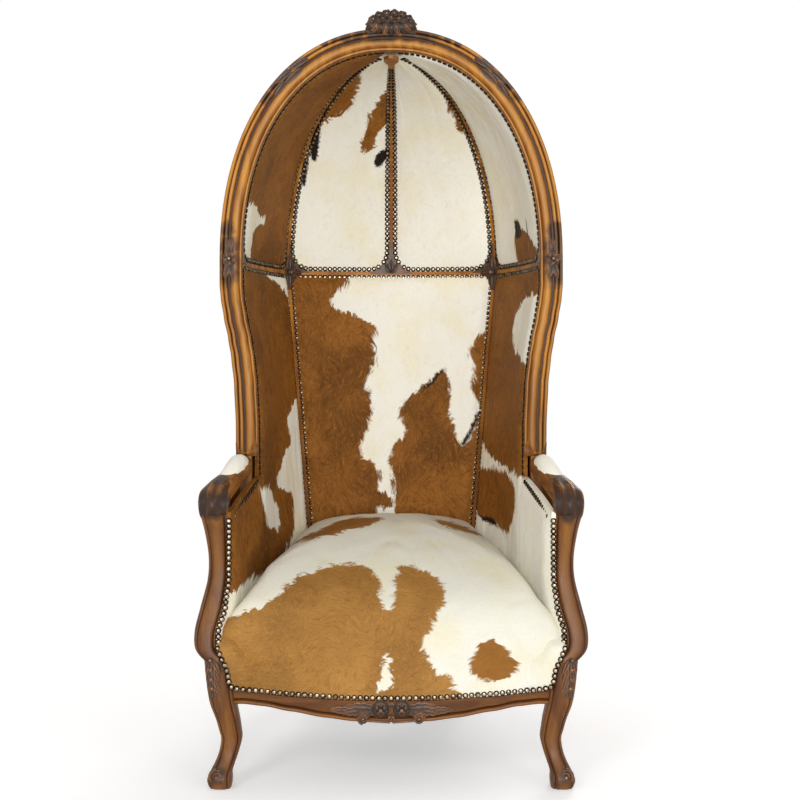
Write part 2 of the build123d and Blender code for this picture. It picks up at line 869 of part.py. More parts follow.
def make_arm_side_pad():
    """The stuffed panel under the arm, from the upright to the arm post."""
    faces = []
    rear = (upright_inner(0.0), pole_y - fit_gap)
    for z, face_x in post_inner_line:
        front = (face_x - rebate_depth, arm_side_front_y)
        middle = side_plan(front[0], front[1], rear[0], rear[1], 0.0)[1]
        inner = [front, pushed(middle, front, rear, -pad_edge / 2), rear]
        outer = [(front[0] + pad_edge, front[1]), pushed(middle, front, rear, pad_edge + pad_swell / 2),
                 (rear[0] + pad_edge, rear[1])]
        faces.append(skin_face(raised(inner, z), raised(outer, z)))
    return under_arm(loft(faces))


def under_arm(shape):
    """What lies below the slanting line under the armrest."""
    face = closed_face([
        (0, arm_side_front_y - overrun / 4, arm_line_front_height - fit_gap),
        (0, arm_side_front_y, arm_line_front_height),
        (0, pole_y, arm_line_rear_height),
        (0, pole_y + overrun / 4, arm_line_rear_height + overrun),
        (0, arm_side_front_y - overrun / 4, arm_line_rear_height + overrun),
    ])
    return shape - extrude(face, amount=overrun * 2, dir=(1, 0, 0))


def make_outer_back():
    """The outer back cover between the corners."""
    faces = []
    for z in (pad_bottom, seat_level, band_height):
        right = flat(post_place(z)(0, corner_cover_level))
        right_out = flat(post_place(z)(0, corner_cover_level + cover_thickness))
        middle = back_middle_at(z) + cover_level
        inner = [(-right[0], right[1]), (0, middle), right]
        outer = [(-right_out[0], right_out[1]), (0, middle + cover_thickness), right_out]
        faces.append(skin_face(raised(inner, z), raised(outer, z)))
    return loft(faces)


cover_levels = [pad_bottom, seat_level] + [height for height, _ in reversed(upright_line)]


def make_outer_wing():
    """The outer wing cover from the upright's back to the corner."""
    faces = []
    for z in cover_levels:
        front = (upright_inner(z) + cover_level, arch_back_y + fit_gap)
        rear = flat(post_place(z)(0, corner_cover_level))
        rear_out = flat(post_place(z)(0, corner_cover_level + cover_thickness))
        middle = side_plan(front[0], front[1], rear[0], rear[1], side_bow)[1]
        inner = [front, middle, rear]
        outer_middle = pushed(middle, front, rear, cover_thickness)
        outer = [(front[0] + cover_thickness, front[1]), outer_middle, rear_out]
        faces.append(skin_face(raised(inner, z), raised(outer, z)))
    return loft(faces)


def make_outer_arm():
    """The outer cover under the arm, from the wing cover to the arm post's back."""
    faces = []
    rear = (upright_inner(0.0) + cover_level, arch_back_y)
    for z, face_x in post_inner_line:
        front = (face_x + rail_thickness, arm_cover_front_y)
        middle = side_plan(front[0], front[1], rear[0], rear[1], 0.0)[1]
        inner = [front, pushed(middle, front, rear, -fit_gap), rear]
        outer = [(front[0] + cover_thickness, front[1]), pushed(middle, front, rear, cover_thickness),
                 (rear[0] + cover_thickness, rear[1])]
        faces.append(skin_face(raised(inner, z), raised(outer, z)))
    cover = under_arm(loft(faces))
    for wood in (leg_right, arm_post_right, side_rail_right, upright_right, armrest_right):
        cover = cover - wood
    return max(cover.solids(), key=lambda piece: piece.volume)


# The seat: level, front half width, front y, rear half width, rear y.
seat_levels = []
for height_share, front_share, fore_share, rear_share, aft_share in seat_shares:
    seat_levels.append((
        pad_bottom + (seat_crown_height - pad_bottom) * height_share,
        seat_front_half_width * front_share,
        seat_peak_y + (seat_front_y - seat_peak_y) * fore_share,
        seat_rear_half_width * rear_share,
        seat_peak_y + (seat_rear_y - seat_peak_y) * aft_share,
    ))


def seat_face(level):
    """One level slice of the stuffed seat."""
    z, front_x, front_y, rear_x, rear_y = level
    bow = front_rail_bow * front_x / front_rail_half_span
    side_x = (front_x + rear_x) / 2 + seat_side_bow
    side_y = (front_y + rear_y) / 2
    lines = [
        ThreePointArc((-front_x, front_y, z), (0, front_y - bow, z), (front_x, front_y, z)),
        ThreePointArc((front_x, front_y, z), (side_x, side_y, z), (rear_x, rear_y, z)),
        ThreePointArc((rear_x, rear_y, z), (0, rear_y + seat_back_bow * rear_x / seat_rear_half_width, z),
                      (-rear_x, rear_y, z)),
        ThreePointArc((-rear_x, rear_y, z), (-side_x, side_y, z), (-front_x, front_y, z)),
    ]
    return Face(Wire(lines))


def spring_pocket(inset, low, high):
    """The block of the seat's spring hollow, drawn in by an inset, between two levels."""
    half = spring_pocket_half_width - inset
    front = spring_middle_y - spring_pocket_half_depth + inset
    rear = spring_middle_y + spring_pocket_half_depth - inset
    return level_slab([(-half, front), (half, front), (half, rear), (-half, rear)], low, high)


def make_seat():
    """The crowned seat with its front skirt over the rail and its hollow for the springs."""
    body = loft([seat_face(level) for level in seat_levels])
    hollow = spring_pocket(0.0, rail_top_height, spring_pocket_top)
    skirt = rail_elevation([(x, z + fit_gap) for x, z in nail_edge], seat_levels[1][0])
    skirt = skirt & rail_plan(pad_edge)
    skirt = skirt - leg_right - arm_post_right - mirrored(leg_right) - mirrored(arm_post_right)
    body = body - leg_right - arm_post_right - mirrored(leg_right) - mirrored(arm_post_right)
    seat = body - hollow + max(skirt.solids(), key=lambda piece: piece.volume)
    return max(seat.solids(), key=lambda piece: piece.volume)


def make_springs():
    """Coil springs in a grid, each one unbroken wire."""
    pitch = (spring_height - spring_wire * 2) / spring_turns
    coil = Helix(pitch=pitch, height=pitch * spring_turns, radius=spring_radius)
    start = coil @ 0
    section = Plane(origin=start, z_dir=coil % 0) * Circle(spring_wire)
    spring = sweep(section, path=coil, is_frenet=True)
    springs = []
    for column in (-1, 0, 1):
        for row in (-1, 0, 1):
            place = Pos(column * spring_spacing_x, spring_middle_y + row * spring_spacing_y,
                        spring_base_height + spring_wire)
            springs += (place * spring).solids()
    return Compound(springs)


def make_burlap():
    """Sheet of burlap that lies over the springs inside the seat's hollow."""
    top = spring_pocket_top - fit_gap
    return spring_pocket(fit_gap, top - cloth_thickness, top)


def make_webbing():
    """Cross straps under the side rails, with lengthwise straps under them."""
    high = rail_top_height - side_rail_height
    straps = []
    half = webbing_width / 2
    for row in (-2, -1, 0, 1, 2):
        y = spring_middle_y + row * webbing_spacing
        near = side_rail_x(y - half)
        far = side_rail_x(y + half)
        plan = [(-near, y - half), (near, y - half), (far, y + half), (-far, y + half)]
        straps.append(level_slab(plan, high - webbing_thickness, high))
    rear = corner_at(rail_top_height)[1] + rail_thickness / 2
    front = front_rail_front_y + rail_thickness + fit_gap
    for column in (-1.5, -0.5, 0.5, 1.5):
        x = column * webbing_spacing
        plan = [(x - half, front), (x + half, front), (x + half, rear), (x - half, rear)]
        straps.append(level_slab(plan, high - webbing_thickness * 2, high - webbing_thickness))
    return Compound([strap.solids()[0] for strap in straps])


def make_dust_cover():
    """Thin cloth that closes the seat from below."""
    top = rail_top_height - side_rail_height - webbing_thickness * 2
    front = front_rail_front_y + rail_thickness + fit_gap
    rear = corner_at(rail_top_height)[1] + rail_thickness / 2
    inset = rail_thickness
    cloth = level_slab([
        (-side_rail_x(front) + inset, front), (side_rail_x(front) - inset, front),
        (side_rail_x(rear), rear), (-side_rail_x(rear), rear),
    ], top - cloth_thickness, top)
    for wood in (leg_right, rear_post_right):
        cloth = cloth - wood - mirrored(wood)
    return cloth


def make_arm_pad():
    """The small stuffed pad on top of the arm."""
    faces = []
    for length_share, up_share, spread_share, width_share, rise_share in arm_pad_shares:
        y = arm_front_y + arm_length * length_share
        z = arm_hand_height + arm_rise * up_share
        x = arm_rear_x + arm_spread * spread_share
        half = arm_pad_width * width_share / 2
        rise = arm_pad_rise * rise_share
        low = [(x - half, y, z), (x + half, y, z)]
        lines = [
            Line(low[0], low[1]),
            ThreePointArc(low[1], (x, y, z + rise), low[0]),
        ]
        faces.append(Face(Wire(lines)))
    pad = loft(faces) - armrest_right - upright_right
    return max(pad.solids(), key=lambda piece: piece.volume)


side_full_shares = (0.0, 0.0, 0.7, 1.0, 0.8, 0.0)
back_full_shares = (0.0, 1.0, 1.0, 0.0)
side_turn_shares = (0.0, 0.1, 0.3, 0.6, 1.0)
back_turn_shares = (0.0, 0.4, 0.7, 1.0)
back_pad = make_back_pad()
wing_pad = make_wing_pad()
side_dome_pad = dome_pad(side_points, side_full_shares)
back_dome_pad = dome_pad(back_points, back_full_shares)

save("back_pad", back_pad)
save_pair("wing_pad", wing_pad)
save_pair("arm_side_pad", make_arm_side_pad())
save_pair("dome_pad_side", side_dome_pad)
save_pair("dome_pad_back", back_dome_pad)
save("outer_back", make_outer_back())
save_pair("outer_wing", make_outer_wing())
save_pair("outer_arm", make_outer_arm())
save_pair("dome_cover_side", dome_cover(side_cover_points, side_turn_shares))
save_pair("dome_cover_back", dome_cover(back_cover_points, back_turn_shares))
save_pair("arm_pad", make_arm_pad())
save("seat_springs", make_springs())
save("seat_burlap", make_burlap())
save("seat_webbing", make_webbing())
save("dust_cover", make_dust_cover())

seat_skin = make_seat()

# Carvings: raised ornaments seated on the show wood.

heart_share = 0.5
petal_reach_share = 0.62
petal_share = 0.38
flower_place_share = 0.55
pair_spread_share = 0.55
pair_reach_share = 0.32
pair_tilt = 18.0
leaf_place_share = 0.62
fan_count = 9
fan_spread = 62.0
fan_shares = {"place": 0.62, "rise": 0.34, "droop": 0.06, "length": 0.72, "width": 0.26}
bloom_share = 0.19
bloom_shares = [(-0.62, 0.62), (-0.3, 0.76), (0.0, 0.81), (0.3, 0.76), (0.62, 0.62)]
core_shares = {"rise": 0.45, "width": 1.2, "height": 0.4}
star_pinch_shares = (0.27, 0.46)
rose_leaf_shares = {"place": 0.5, "rise": 0.25, "width": 1.2, "tilt": 4.0}
rose_scroll_shares = (1.35, -1.3)
rose_bar_shares = {"drop": -0.5, "width": 2.4, "height": 1.3}


def leaf_outline(length, width):
    """A pointed leaf from two arcs, lying along X in plan."""
    half = length / 2
    lines = [
        ThreePointArc((-half, 0), (0, -width / 2), (half, 0)),
        ThreePointArc((half, 0), (0, width / 2), (-half, 0)),
    ]
    return Face(Wire(lines))


def flower_outline(radius, petals):
    """A round flower seen from the front: petals round a heart."""
    shape = Circle(radius * heart_share)
    for number in range(petals):
        angle = 360.0 / petals * number + 90.0
        petal = Pos(radius * petal_reach_share, 0) * Circle(radius * petal_share)
        shape = shape + Rot(0, 0, angle) * petal
    return shape


def facing_front(x, y, z, turn=0.0):
    """A place whose flat outline faces the front of the chair."""
    return Plane(origin=(x, y, z), x_dir=(1, 0, 0), z_dir=(0, -1, 0)).location * Rot(0, 0, turn)


def raised_from(outline, place, depth, base):
    """An ornament pushed back from its place into the wood behind, cut to sit on that wood."""
    kept = place * extrude(outline, amount=depth, dir=(0, 0, -1))
    for wood in base:
        kept = kept - wood
    return max(kept.solids(), key=lambda piece: piece.volume)


def make_side_flower():
    """Flower over the joint of upright and arch, with a leaf pair above and below."""
    middle = arch_inner_half_width + arch_width * flower_place_share
    outline = flower_outline(side_flower_radius, 5)
    for side in (-1, 1):
        for tilt in (-1, 1):
            spread = tilt * leaf_width * pair_spread_share
            place = Pos(spread, side * (side_flower_radius + leaf_length * pair_reach_share))
            turn = Rot(0, 0, 90.0 - side * tilt * pair_tilt)
            outline = outline + place * turn * leaf_outline(leaf_length, leaf_width)
    place = facing_front(middle, arch_front_y - petal_lift, band_height + side_flower_rise)
    return raised_from(outline, place, petal_lift + carving_depth, [arch_right, upright_right])


def make_arch_leaf():
    """Long leaf carved on the arch's shoulder."""
    middle = arch_width * leaf_place_share
    ends = []
    for turn in (arch_leaf_turn - 1.0, arch_leaf_turn, arch_leaf_turn + 1.0):
        x = (arch_inner_half_width + middle) * shrink(turn)
        ends.append((x, band_height + (arch_inner_rise + middle) * climb(turn)))
    tilt = math.degrees(math.atan2(ends[2][1] - ends[0][1], ends[2][0] - ends[0][0]))
    place = facing_front(ends[1][0], arch_front_y - petal_lift / 2, ends[1][1], tilt)
    outline = leaf_outline(arch_leaf_length, arch_leaf_width)
    return raised_from(outline, place, petal_lift + carving_depth, [arch_right])


def make_crest():
    """Crest: a cluster of blossoms over a fan of drooping petals, glued on the arch's crown."""
    half = crest_half_width
    tall = crest_height
    low = crest_bottom_height
    core = Rectangle(half * core_shares["width"], tall * core_shares["height"])
    fan = Pos(0, low + tall * core_shares["rise"]) * core
    for number in range(fan_count):
        share = number * 2 / (fan_count - 1) - 1
        rise = tall * (fan_shares["rise"] - abs(share) * fan_shares["droop"])
        petal = leaf_outline(tall * fan_shares["length"], tall * fan_shares["width"])
        place = Pos(share * half * fan_shares["place"], low + rise) * Rot(0, 0, 90.0 - share * fan_spread)
        fan = fan + place * petal
    for share, rise_share in bloom_shares:
        fan = fan + Pos(share * half, low + tall * rise_share) * Circle(tall * bloom_share)
    place = facing_front(0, arch_front_y - carving_depth * 2, 0)
    return raised_from(fan, place, crest_depth, [arch_right, mirrored(arch_right)])


def make_rosette():
    """Corner ornament where dome rib, band and back stile cross."""
    x, y = corner_right
    reach, dir_x, dir_y = pole_plan(x, y)
    front = rosette_thickness
    place = Plane(origin=(x - dir_x * front, y - dir_y * front, band_height),
                  x_dir=(dir_y, -dir_x, 0), z_dir=(-dir_x, -dir_y, 0)).location
    w = rosette_half_width
    h = rosette_half_height
    near = w * star_pinch_shares[0]
    far = h * star_pinch_shares[1]
    lines = [
        ThreePointArc((0, h), (-near, far), (-w, 0)),
        ThreePointArc((-w, 0), (-near, -far), (0, -h)),
        ThreePointArc((0, -h), (near, -far), (w, 0)),
        ThreePointArc((w, 0), (near, far), (0, h)),
    ]
    star = Circle(w * heart_share) + Face(Wire(lines))
    side = Vector(arch_inner_half_width - x, pole_y - y).normalized() * overrun
    back = Vector(-x, back_middle_y - y).normalized() * overrun
    plan = [(x, y), (x + side.X, y + side.Y), (x + back.X, y + back.Y)]
    corner = level_slab(plan, band_height - h, band_height + h)
    block = place * extrude(star, amount=front, dir=(0, 0, -1)) & corner
    for wood in (rear_post_right, rib_right, band_side_right, band_back_piece):
        block = block - wood
    return max(block.solids(), key=lambda piece: piece.volume)


def make_rail_carving():
    """Two roses between leaves and small scrolls, on the middle of the front rail."""
    radius = rail_rose_radius
    drop = radius * rose_bar_shares["drop"]
    bar_width = rail_rose_spacing * rose_bar_shares["width"]
    outline = Pos(0, drop) * Rectangle(bar_width, radius * rose_bar_shares["height"])
    for side in (-1, 1):
        rose = Pos(side * rail_rose_spacing / 2, 0) * flower_outline(radius, 6)
        middle = rail_rose_spacing / 2 + rail_leaf_length * rose_leaf_shares["place"]
        leaf = leaf_outline(rail_leaf_length, radius * rose_leaf_shares["width"])
        leaf_place = Pos(side * middle, radius * rose_leaf_shares["rise"])
        leaf = leaf_place * Rot(0, 0, side * rose_leaf_shares["tilt"]) * leaf
        scroll_place = Pos(side * rail_rose_spacing * rose_scroll_shares[0], radius * rose_scroll_shares[1])
        outline = outline + rose + leaf + scroll_place * Circle(rail_scroll_radius)
    front = front_rail_front_y - front_rail_bow - petal_lift
    place = facing_front(0, front, rail_bottom_height + rail_rose_rise)
    return raised_from(outline, place, petal_lift * 2 + carving_depth * 2, [front_rail, seat_skin])


def make_knee_leaf():
    """Acanthus leaf that hangs over the knee at the joint of leg and arm post."""
    front = leg_middle_y - leg_depth / 2 - petal_lift
    place = facing_front(leg_middle_x + knee_leaf_shift, front, leg_top_height - knee_leaf_drop, 90.0)
    outline = leaf_outline(knee_leaf_length, knee_leaf_width)
    return raised_from(outline, place, petal_lift + carving_depth * 3, [leg_right, arm_post_right])


# Domed nails, set at even steps along the edges of the hides.

def nail_solid():
    """One nail: a domed head on a short shank, head up."""
    sphere_radius = (nail_radius ** 2 + nail_rise ** 2) / (2 * nail_rise)
    dome = Pos(0, 0, nail_rise - sphere_radius) * Sphere(sphere_radius)
    dome = dome & (Pos(0, 0, nail_rise / 2) * Cylinder(nail_radius * 2, nail_rise))
    shank = Pos(0, 0, -nail_shank_length / 2) * Cylinder(nail_shank, nail_shank_length)
    return (dome + shank).solids()[0]


nail = nail_solid()


def walk(line, start, end):
    """Evenly spaced parameters along a line given by a function, one nail pitch apart."""
    steps = 240
    params = [start + (end - start) * n / steps for n in range(steps + 1)]
    points = [Vector(*line(p)[0]) for p in params]
    lengths = [0.0]
    for before, after in zip(points, points[1:]):
        lengths.append(lengths[-1] + (after - before).length)
    count = max(2, round(lengths[-1] / nail_pitch))
    found = []
    index = 0
    for number in range(count):
        target = lengths[-1] * (number + 0.5) / count
        while lengths[index + 1] < target:
            index += 1
        share = (target - lengths[index]) / (lengths[index + 1] - lengths[index])
        found.append(params[index] + (params[index + 1] - params[index]) * share)
    return found


def nail_row(line, start, end):
    """Nails along a line whose function gives a point and the way the heads face."""
    row = []
    for param in walk(line, start, end):
        point, facing = line(param)
        row.append(nail.moved(Plane(origin=point, z_dir=facing).location))
    return row


def rib_line(plan_point, side):
    """The row beside a dome rib."""

    def line(turn):
        place = rib_place(plan_point[0], plan_point[1], turn)
        across = half_strip * shrink(turn) + nail_inset
        here = Vector(*place(side * across, 0))
        ahead = Vector(*rib_place(plan_point[0], plan_point[1], turn + 1.0)(side * across, 0))
        level = Vector(*place(side * across + nail_radius, 0)) - here
        facing = (ahead - here).cross(level)
        inward = Vector(-here.X, pole_y - here.Y, band_height - here.Z)
        return here, facing if facing.dot(inward) > 0 else -facing

    return line


def arch_line(turn):
    """The row inside the arch."""
    c = shrink(turn)
    s = climb(turn)
    return (Vector(arch_inner_half_width * c, pole_y + nail_inset, band_height + arch_inner_rise * s),
            Vector(-c, 0, -s))


def stile_line(side):
    """The row beside a back stile."""

    def line(z):
        x, y = corner_at(z)
        reach, dir_x, dir_y = pole_plan(x, y)
        spot = post_place(z)(side * (half_strip + nail_inset), 0)
        return Vector(*spot), Vector(-dir_x, -dir_y, 0)

    return line


def band_line(plan, side):
    """The row above or below the band."""
    edge = ThreePointArc(*[(x, y, band_height) for x, y in plan])

    def line(share):
        spot = edge @ share
        along = edge % share
        facing = Vector(along.Y, -along.X, 0)
        inward = Vector(-spot.X, pole_y - spot.Y, 0)
        return (spot + Vector(0, 0, side * (half_strip + nail_inset)),
                facing if facing.dot(inward) > 0 else -facing)

    return line


def upright_line_at(z):
    """The row inside the upright."""
    return Vector(upright_inner(z), pole_y + nail_inset, z), Vector(-1, 0, 0)


arm_nail_share = 1.5


def arm_line_at(share):
    """The row along the slanting top of the arm's side panel."""
    y = arm_side_front_y + nail_inset * 2 + (pole_y - arm_side_front_y - nail_inset * 2) * share
    front = post_inner_line[7][1] - rebate_depth
    rear = upright_inner(0.0)
    x = front + (rear - front) * share
    rise = arm_line_rear_height - arm_line_front_height
    z = arm_line_front_height + rise * share - nail_inset * arm_nail_share
    return Vector(x, y, z), Vector(-1, -(front - rear) / (pole_y - arm_side_front_y), 0)


def post_line_at(z):
    """The row along the arm post's inner edge."""
    for (low, low_x), (high, high_x) in zip(post_inner_line, post_inner_line[1:]):
        if z <= high:
            face_x = low_x + (high_x - low_x) * (z - low) / (high - low)
            return Vector(face_x - rebate_depth, arm_side_front_y + nail_inset, z), Vector(-1, -1, 0)
    return Vector(post_inner_line[-1][1], arm_side_front_y, z), Vector(-1, -1, 0)


def seat_nail_height(x):
    """Height of the seat's nail row over the front rail."""
    for (near, low), (far, high) in zip(nail_edge, nail_edge[1:]):
        if abs(x) <= far:
            return low + (high - low) * (abs(x) - near) / (far - near) + nail_inset
    return nail_edge[-1][1] + nail_inset


def seat_line_at(x):
    """The row along the foot of the seat's cover."""
    y = front_rail_front_y - front_rail_bow * (1 - (x / rail_half_length) ** 2)
    return Vector(x, y, seat_nail_height(x)), Vector(0, -1, 0)


def with_mirror(row):
    """A right-hand row and its left-hand copy."""
    return row + [mirrored(one).solids()[0] for one in row]


dome_nail_foot = turn_at_climb((half_strip + nail_inset * 3) / arch_inner_rise)
rib_nail_end = 80.0
middle_nail_end = 83.0
arch_nail_end = 88.0
side_band_shares = (0.06, 0.93)
back_band_shares = (0.05, 0.95)
arm_row_shares = (0.02, 0.96)
dome_nails = []
back_nails = []
for side in (-1, 1):
    dome_nails += with_mirror(nail_row(rib_line(corner_right, side), dome_nail_foot, rib_nail_end))
    back_nails += with_mirror(nail_row(band_line(band_side, side), *side_band_shares))
    back_nails += nail_row(band_line(band_back, side), *back_band_shares)
    stile_foot = seat_level + stile_nail_rise
    stile_head = band_height - half_strip - nail_inset * 3
    back_nails += with_mirror(nail_row(stile_line(side), stile_foot, stile_head))
dome_nails += with_mirror(nail_row(rib_line((0.0, back_middle_y), 1), dome_nail_foot, middle_nail_end))
front_nails = with_mirror(nail_row(arch_line, dome_nail_foot, arch_nail_end))
upright_head = band_height - half_strip - nail_inset
front_nails += with_mirror(nail_row(upright_line_at, arm_line_rear_height, upright_head))
arm_nails = with_mirror(nail_row(arm_line_at, *arm_row_shares))
post_foot = pad_bottom + post_nail_rise
post_head = arm_line_front_height - nail_inset
arm_nails += with_mirror(nail_row(post_line_at, post_foot, post_head))
seat_nails = nail_row(seat_line_at, -front_rail_half_span, front_rail_half_span)

save("seat_pad", seat_skin)
save("crest_carving", make_crest())
save("side_flowers", Compound(with_mirror([make_side_flower()])))
save("arch_leaves", Compound(with_mirror([make_arch_leaf()])))
save("corner_rosettes", Compound(with_mirror([make_rosette()])))
save("rail_carving", make_rail_carving())
save("knee_leaves", Compound(with_mirror([make_knee_leaf()])))
save("dome_nails", Compound(dome_nails))
save("front_frame_nails", Compound(front_nails))
save("back_frame_nails", Compound(back_nails))
save("arm_nails", Compound(arm_nails))
save("seat_nails", Compound(seat_nails))
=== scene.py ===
import logging
import math
from dataclasses import dataclass, field
from enum import Enum
from functools import partial
from typing import Callable, Sequence

import bmesh
import bpy
from mathutils import Matrix, Vector, noise


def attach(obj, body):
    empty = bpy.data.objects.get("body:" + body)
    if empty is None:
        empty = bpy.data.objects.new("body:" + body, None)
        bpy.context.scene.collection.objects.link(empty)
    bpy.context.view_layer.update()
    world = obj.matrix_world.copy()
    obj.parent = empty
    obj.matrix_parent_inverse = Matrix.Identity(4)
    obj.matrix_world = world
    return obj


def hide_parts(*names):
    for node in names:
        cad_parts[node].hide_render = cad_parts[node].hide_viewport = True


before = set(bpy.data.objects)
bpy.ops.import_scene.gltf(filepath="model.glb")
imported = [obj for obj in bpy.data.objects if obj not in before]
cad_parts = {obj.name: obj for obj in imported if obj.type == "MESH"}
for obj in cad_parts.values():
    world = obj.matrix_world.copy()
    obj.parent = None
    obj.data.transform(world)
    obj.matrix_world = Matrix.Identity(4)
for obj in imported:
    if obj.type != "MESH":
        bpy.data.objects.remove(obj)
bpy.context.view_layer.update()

log = logging.getLogger("porter_chair")

Socket = bpy.types.NodeSocket
Material = bpy.types.Material
Plan = tuple[float, float]
Colour = tuple[float, float, float]
Row = tuple[float, ...]
Surface = Callable[[float, float, float], Vector]
Nail = tuple[Vector, Vector]

SIDES = (1.0, -1.0)
NAIL_PITCH = 0.0126
TUBE_SIDES = 8
# Radius of the rounded corners at the foot of the dome panels.
ROUND = 0.050
ACROSS = Vector((1.0, 0.0, 0.0))
HALF = (0.5, 0.5, 0.5)


class Axis(Enum):
    """An axis of the frame."""

    X = 0
    Y = 1
    Z = 2


class Face(Enum):
    """How a hide's markings are laid out: direction across, direction up, and the lie of the hair."""

    FRONT = ((1.0, 0.0, 0.0), (0.0, 0.0, 1.0), (1.0, 1.0, 0.30))
    SIDE = ((0.0, 1.0, 0.0), (0.0, 0.0, 1.0), (1.0, 1.0, 0.30))
    SEAT = ((1.0, 0.0, 0.0), (0.0, 0.35, 1.0), (0.30, 1.0, 1.0))


class Slot(Enum):
    """Material slots of the record."""

    SHOW_WOOD = "show_wood"
    CARVED_WOOD = "carved_wood"
    BARE_WOOD = "bare_wood"
    INNER_HIDE = "inner_hide"
    SEAT_HIDE = "seat_hide"
    OUTER_HIDE = "outer_hide"
    NAIL_BRASS = "nail_brass"
    SPRING_STEEL = "spring_steel"
    JUTE = "jute"
    BLACK_CLOTH = "black_cloth"


# Numbers and curves.


def smooth(value: float, low: float, high: float) -> float:
    """Soft step from 0 at the low number to 1 at the high one."""
    share = min(1.0, max(0.0, (value - low) / (high - low)))
    return share * share * (3.0 - 2.0 * share)


def bell(value: float, middle: float, width: float) -> float:
    """Bell curve of height 1."""
    return math.exp(-(((value - middle) / width) ** 2))


def wobble(x: float, y: float, z: float, seed: float = 0.0) -> float:
    """Smooth irregular value of about -1 to 1 at a place; the seed shifts the pattern."""
    return noise.noise(Vector((x + seed * 7.31, y - seed * 3.17, z + seed * 1.93)))


def rounded(part: float, power: float) -> float:
    """A sine or cosine drawn out towards a square, with its sign kept."""
    return math.copysign(abs(part) ** power, part)


def through(stations: Sequence[Row], share: float) -> list[float]:
    """Smooth curve through evenly counted stations.

    Args:
        stations: rows of numbers.
        share: place along the rows, from 0 to 1.

    Returns:
        The row at that place.
    """
    last = len(stations) - 1
    at = min(max(share, 0.0), 1.0) * last
    index = min(int(at), last - 1)
    t = at - index
    four = (stations[i] for i in (max(index - 1, 0), index, index + 1, min(index + 2, last)))
    return [b + 0.5 * t * (c - a + t * (2.0 * a - 5.0 * b + 4.0 * c - d + t * (3.0 * b - a - 3.0 * c + d)))
            for a, b, c, d in zip(*four)]


def on_line(points: Sequence[Plan], at: float) -> float:
    """Eased reading of a table of pairs.

    Args:
        points: pairs in rising order of their first number.
        at: the first number to look up.

    Returns:
        The second number there.
    """
    if at <= points[0][0]:
        return points[0][1]
    for (low, low_value), (high, high_value) in zip(points, points[1:]):
        if at <= high:
            share = (at - low) / (high - low)
            share = share * share * (3.0 - 2.0 * share) * 0.5 + share * 0.5
            return low_value + (high_value - low_value) * share
    return points[-1][1]


def around(sides: int) -> list[float]:
    """Angles of evenly spaced points round a ring."""
    return [math.tau * i / sides for i in range(sides)]


def mirror(point: Vector, side: float) -> Vector:
    """A right-hand point for side 1, or its left-hand twin for side -1."""
    return Vector((point.x * side, point.y, point.z))


def side_name(side: float) -> str:
    """Name of a side, 1 for right and -1 for left."""
    return "right" if side > 0 else "left"


def shift(x: float = 0.0, y: float = 0.0, z: float = 0.0) -> Matrix:
    """A move by three distances."""
    return Matrix.Translation((x, y, z))


def spin(degrees: float) -> Matrix:
    """A turn in an ornament's own plane, anticlockwise."""
    return Matrix.Rotation(math.radians(degrees), 4, "Z")


def placed(origin: Vector, right: Vector, out: Vector) -> Matrix:
    """Place for an ornament: X to its right, Z out towards the viewer.

    Args:
        origin: where its middle sits.
        right: direction of its X.
        out: direction of its Z.

    Returns:
        The place as a matrix.
    """
    z_axis = out.normalized()
    x_axis = (right - z_axis * right.dot(z_axis)).normalized()
    turn = Matrix((x_axis, z_axis.cross(x_axis), z_axis)).transposed()
    return Matrix.Translation(origin) @ turn.to_4x4()


def facing_front(x: float, y: float, z: float, turn: float = 0.0) -> Matrix:
    """Place that faces the front of the chair, turned in its own plane."""
    return placed(Vector((x, y, z)), ACROSS, Vector((0.0, -1.0, 0.0))) @ spin(turn)


# Meshes.


